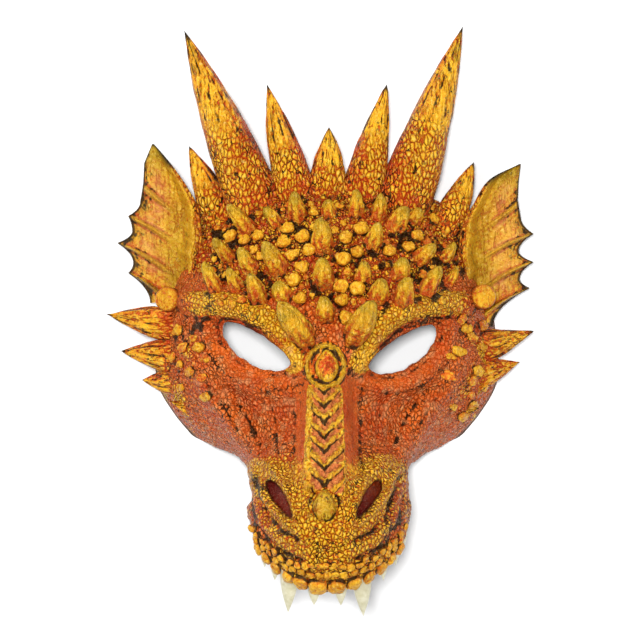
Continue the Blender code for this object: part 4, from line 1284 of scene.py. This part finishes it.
def node(tree, kind, inputs, output=0, **settings):
    # Adds a node and returns one of its outputs. An input is a value, or an output of another node to link.
    made = tree.nodes.new("ShaderNode" + kind)
    for name, value in settings.items():
        setattr(made, name, value)
    for socket, value in inputs.items():
        if isinstance(value, bpy.types.NodeSocket):
            tree.links.new(value, made.inputs[socket])
        else:
            made.inputs[socket].default_value = value
    return made.outputs[output]


def paintedFoam(name, scaleSize, stretch):
    # Soft foam with orange-red sprayed first, golden yellow dry-brushed over what stands up, and a thin
    # black wash that stays in the hollows, with painted shade laid into the same hollows. Painted highlights
    # sit on the crests of the scales, and a warm sheen gives each scale a small light. The finest scales
    # are `scaleSize` metres wide; `stretch` is under 1 along the way that they and the scratches run.
    material = bpy.data.materials.new(name)
    material.use_nodes = True
    tree = material.node_tree
    shader = tree.nodes["Principled BSDF"]
    place = node(tree, "TexCoord", {}, "Object")
    paint = {label: node(tree, "Attribute", {}, "Fac", attribute_name=label) for label in paintNames}
    patches = node(tree, "TexNoise", {"Vector": place, "Scale": 90.0, "Detail": 3.0})
    speckle = node(
        tree, "TexNoise",
        {"Vector": place, "Scale": 560.0, "Detail": 4.0, "Roughness": 0.65, "Distortion": 0.6}
    )
    # the finest scales are small cells set in wandering rows
    wander = node(tree, "TexNoise", {"Vector": place, "Scale": 260.0, "Detail": 2.0}, "Color")
    moved = node(
        tree, "VectorMath", {0: wander, 1: (0.0018, 0.0018, 0.0018), 2: place}, operation="MULTIPLY_ADD"
    )
    laid = node(tree, "VectorMath", {0: moved, 1: stretch}, operation="MULTIPLY")
    cell = node(
        tree, "TexVoronoi", {"Vector": laid, "Scale": 1 / scaleSize}, "Distance", feature="DISTANCE_TO_EDGE"
    )
    ink = node(
        tree, "TexNoise",
        {"Vector": laid, "Scale": 300.0, "Detail": 3.0, "Roughness": 0.7, "Distortion": 1.2}
    )
    drawn = tuple(1.0 if way == 1 else way * 0.25 for way in stretch)
    drawn = node(tree, "VectorMath", {0: moved, 1: drawn}, operation="MULTIPLY")
    scratch = node(tree, "TexNoise", {"Vector": drawn, "Scale": 700.0, "Detail": 3.0, "Roughness": 0.6})
    worn = node(tree, "Math", {0: speckle, 1: 1.7, 2: -0.85}, operation="MULTIPLY_ADD")

    # each effect: what it reads, the readings where it starts and ends, and its two strengths
    ranges = {
        "mottled": (patches, 0.35, 0.65, 0.0, 1.0), "damp": (patches, 0.48, 0.60, 0.0, 1.0),
        "dabbed": (patches, 0.41, 0.53, 0.0, 1.0), "inked": (ink, 0.575, 0.62, 0.0, 1.0),
        "risen": (cell, 0.0, 0.42, 0.0, 1.0), "crack": (cell, 0.16, 0.02, 0.0, 1.0),
        "seam": (cell, 0.30, 0.04, 0.0, 1.0), "line": (cell, 0.13, 0.03, 0.0, 0.45),
        # the brightest specks are painted glints on the gold
        "fleck": (speckle, 0.47, 0.62, 0.0, 0.85), "spark": (speckle, 0.58, 0.70, 0.0, 1.0),
        "ungilded": (paint["gold"], 0.65, 0.35, 0.0, 1.0), "gilded": (paint["gold"], 0.3, 0.9, 0.22, 0.62),
        "unflushed": (paint["red"], 0.9, 0.5, 0.0, 1.0), "scratched": (scratch, 0.47, 0.36, 0.0, 1.0),
        "pale": (paint["pale"], 0.0, 1.0, 0.0, 0.8), "green": (paint["green"], 0.0, 1.0, 0.0, 0.75),
        "dull": (speckle, 0.3, 0.7, 0.22, 0.42),
    }
    sockets = ("Value", "From Min", "From Max", "To Min", "To Max")
    share = {label: node(tree, "MapRange", dict(zip(sockets, row))) for label, row in ranges.items()}
    crest = node(tree, "Math", {0: share["risen"], 1: 0.6}, operation="POWER")
    inkable = node(tree, "Math", {0: paint["streak"], 1: 0.8}, operation="MULTIPLY")
    inkable = node(tree, "Math", {0: paint["scale"], 1: inkable}, operation="MAXIMUM")
    # the peach on the crests of the red scales and the small bright flecks on the gold are painted highlights
    effects = {
        "scored": (share["scratched"], paint["streak"]), "seams": (share["seam"], paint["scale"]),
        "lines": (share["line"], paint["scale"]), "cracks": (share["damp"], share["crack"], paint["scale"]),
        "peachHighlight": (crest, paint["scale"], share["fleck"], share["ungilded"]),
        "paintedGlints": (share["spark"], share["gilded"], share["unflushed"]),
        "ink": (share["inked"], share["dabbed"], inkable), "height": (crest, paint["scale"]),
        "crest": (crest, crest),
    }
    for label, terms in effects.items():
        effects[label] = terms[0]
        for term in terms[1:]:
            effects[label] = node(tree, "Math", {0: effects[label], 1: term}, operation="MULTIPLY")

    # the gold misses the seams and scratches
    deepest = node(tree, "Math", {0: effects["seams"], 1: effects["scored"]}, operation="MAXIMUM")
    brushed = node(tree, "Math", {0: paint["gold"], 1: worn}, operation="ADD")
    brushed = node(tree, "Math", {0: deepest, 1: -0.6, 2: brushed}, operation="MULTIPLY_ADD")
    # painted highlight: pale yellow on the crests of the gilded scales
    paintedHighlight = node(tree, "MapRange", {"Value": brushed, "From Min": 0.45, "From Max": 1.0, "To Max": 0.70})
    paintedHighlight = node(tree, "Math", {0: effects["crest"], 1: paintedHighlight}, operation="MULTIPLY")
    flushed = node(tree, "Math", {0: worn, 1: -0.55, 2: paint["red"]}, operation="MULTIPLY_ADD")
    # black: the wash and the painted shade in the hollows, with cracks, scratches, wear and ink
    darkWashAndShade = paint["wash"]
    for effect, strength in (
        (worn, 0.7), (effects["cracks"], 0.62), (effects["scored"], 0.32), (effects["ink"], 0.72)
    ):
        darkWashAndShade = node(tree, "Math", {0: effect, 1: strength, 2: darkWashAndShade}, operation="MULTIPLY_ADD")
    ranges = (
        (brushed, 0.30, 0.66, 0.0, 1.0), (flushed, 0.15, 0.85, 0.0, 0.85), (darkWashAndShade, 0.26, 0.68, 0.0, 0.95)
    )
    brushed, flushed, darkWashAndShade = [node(tree, "MapRange", dict(zip(sockets, row))) for row in ranges]

    # the coats in the order in which they are laid on, with painted highlights, painted glints and painted
    # shade among them
    sprayed, gilt = [
        node(tree, "Mix", {0: share["mottled"], 6: srgb(first), 7: srgb(second)}, 2, data_type="RGBA")
        for first, second in (("C0420E", "E0661C"), ("D68E08", "F4B41E"))
    ]
    coats = (
        (brushed, gilt), (effects["lines"], srgb("8A260A")), (paintedHighlight, srgb("FFD648")), (flushed, srgb("BE2C10")),
        (effects["peachHighlight"], srgb("F49A5E")), (share["pale"], srgb("D29A66")), (share["green"], srgb("7C7414")),
        (effects["paintedGlints"], srgb("FFD47A")), (darkWashAndShade, srgb("160D07")), (paint["crimson"], srgb("5E0A0C")),
        (paint["cut"], srgb("120E0C")),
    )
    colour = sprayed
    for amount, coat in coats:
        colour = node(tree, "Mix", {0: amount, 6: colour, 7: coat}, 2, data_type="RGBA")
    tree.links.new(colour, shader.inputs["Base Color"])
    rough = node(tree, "Math", {0: paint["cut"], 1: 0.35, 2: share["dull"]}, operation="MULTIPLY_ADD")
    tree.links.new(rough, shader.inputs["Roughness"])
    height = effects["height"]
    for effect, strength in ((speckle, 0.7), (effects["scored"], -0.6)):
        height = node(tree, "Math", {0: effect, 1: strength, 2: height}, operation="MULTIPLY_ADD")
    grain = node(tree, "Bump", {"Height": height, "Strength": 1.0, "Distance": 0.0019})
    tree.links.new(grain, shader.inputs["Normal"])
    # the varnish over the gold shines warm
    shader.inputs["Specular Tint"].default_value = (1.0, 0.74, 0.42, 1.0)
    return material


def ivoryPaint():
    # Teeth brushed in dull ivory, greyer where they leave the lip
    material = bpy.data.materials.new("ivory paint")
    material.use_nodes = True
    tree = material.node_tree
    shader = tree.nodes["Principled BSDF"]
    place = node(tree, "TexCoord", {}, "Object")
    speckle = node(tree, "TexNoise", {"Vector": place, "Scale": 400.0, "Detail": 3.0})
    speckle = node(tree, "MapRange", {"Value": speckle, "From Min": 0.3, "From Max": 0.7})
    wash = node(tree, "Attribute", {}, "Fac", attribute_name="wash")
    wash = node(tree, "Math", {0: wash, 1: 0.8}, operation="MULTIPLY")
    colour = node(tree, "Mix", {0: speckle, 6: srgb("CFC9A2"), 7: srgb("E4DFC4")}, 2, data_type="RGBA")
    colour = node(tree, "Mix", {0: wash, 6: colour, 7: srgb("7A6A48")}, 2, data_type="RGBA")
    tree.links.new(colour, shader.inputs["Base Color"])
    shader.inputs["Roughness"].default_value = 0.42
    return material


facePaint = paintedFoam("painted foam of the face", 0.0021, (1.0, 0.78, 1.0))
hornPaint = paintedFoam("painted foam of the horns", 0.0022, (1.0, 0.50, 1.0))
barbPaint = paintedFoam("painted foam of the cheek spikes", 0.0025, (0.55, 1.0, 1.0))
toothPaint = ivoryPaint()
dressed = [
    (faceObject, facePaint), (spines.build("horns"), hornPaint), (barbs.build("cheek_spikes"), barbPaint),
    (scales.build("thorns"), hornPaint), (nose.build("nose"), facePaint), (fins.build("ears"), hornPaint),
    (fangs.build("teeth"), toothPaint),
]
for piece, paint in dressed:
    piece.data.materials.clear()
    piece.data.materials.append(paint)
    bpy.ops.object.select_all(action="DESELECT")
    bpy.context.view_layer.objects.active = piece
    piece.select_set(True)
    bpy.ops.object.shade_smooth_by_angle(angle=math.radians(70))
    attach(piece, "root")
    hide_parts("mask")
    print(piece.name, sum(len(p.vertices) - 2 for p in piece.data.polygons))

# A pale floor and soft studio light from above
bpy.ops.mesh.primitive_plane_add(size=6)
floor = bpy.context.object
floor.name = "floor"
floorPaint = bpy.data.materials.new("floor")
floorPaint.use_nodes = True
floorPaint.node_tree.nodes["Principled BSDF"].inputs["Base Color"].default_value = (0.96, 0.96, 0.96, 1)
floorPaint.node_tree.nodes["Principled BSDF"].inputs["Roughness"].default_value = 0.9
floor.data.materials.append(floorPaint)

world = bpy.data.worlds.new("world")
bpy.context.scene.world = world
world.use_nodes = True
world.node_tree.nodes["Background"].inputs["Color"].default_value = (1, 1, 1, 1)
world.node_tree.nodes["Background"].inputs["Strength"].default_value = 0.17
lights = [
    ("front", (-0.04, 0.06, 1.66), 0.22, 26.0), ("side", (-0.95, 0.75, 1.05), 0.3, 10.0),
    ("fill", (0.9, -0.3, 1.1), 0.8, 4.5),
]
for name, place, size, power in lights:
    lamp = bpy.data.lights.new(name, "AREA")
    lamp.size, lamp.energy = size, power
    holder = bpy.data.objects.new(name, lamp)
    bpy.context.scene.collection.objects.link(holder)
    holder.location = place
    holder.rotation_euler = (Vector((0, 0, 0.05)) - Vector(place)).to_track_quat("-Z", "Y").to_euler()

camera = bpy.data.cameras.new("camera")
cameraObject = bpy.data.objects.new("camera", camera)
bpy.context.scene.collection.objects.link(cameraObject)
cameraObject.location = (-drawing["shift"][0], -drawing["shift"][1], drawing["height"] + drawing["distance"])
camera.sensor_width = 36
camera.lens = 36 * drawing["distance"] / (640 * drawing["pixel"])
camera.shift_x = (320 - drawing["column"]) / 640
camera.shift_y = -(320 - drawing["row"]) / 640
bpy.context.scene.camera = cameraObject
bpy.context.scene.view_settings.view_transform = "Standard"
print("scene built")
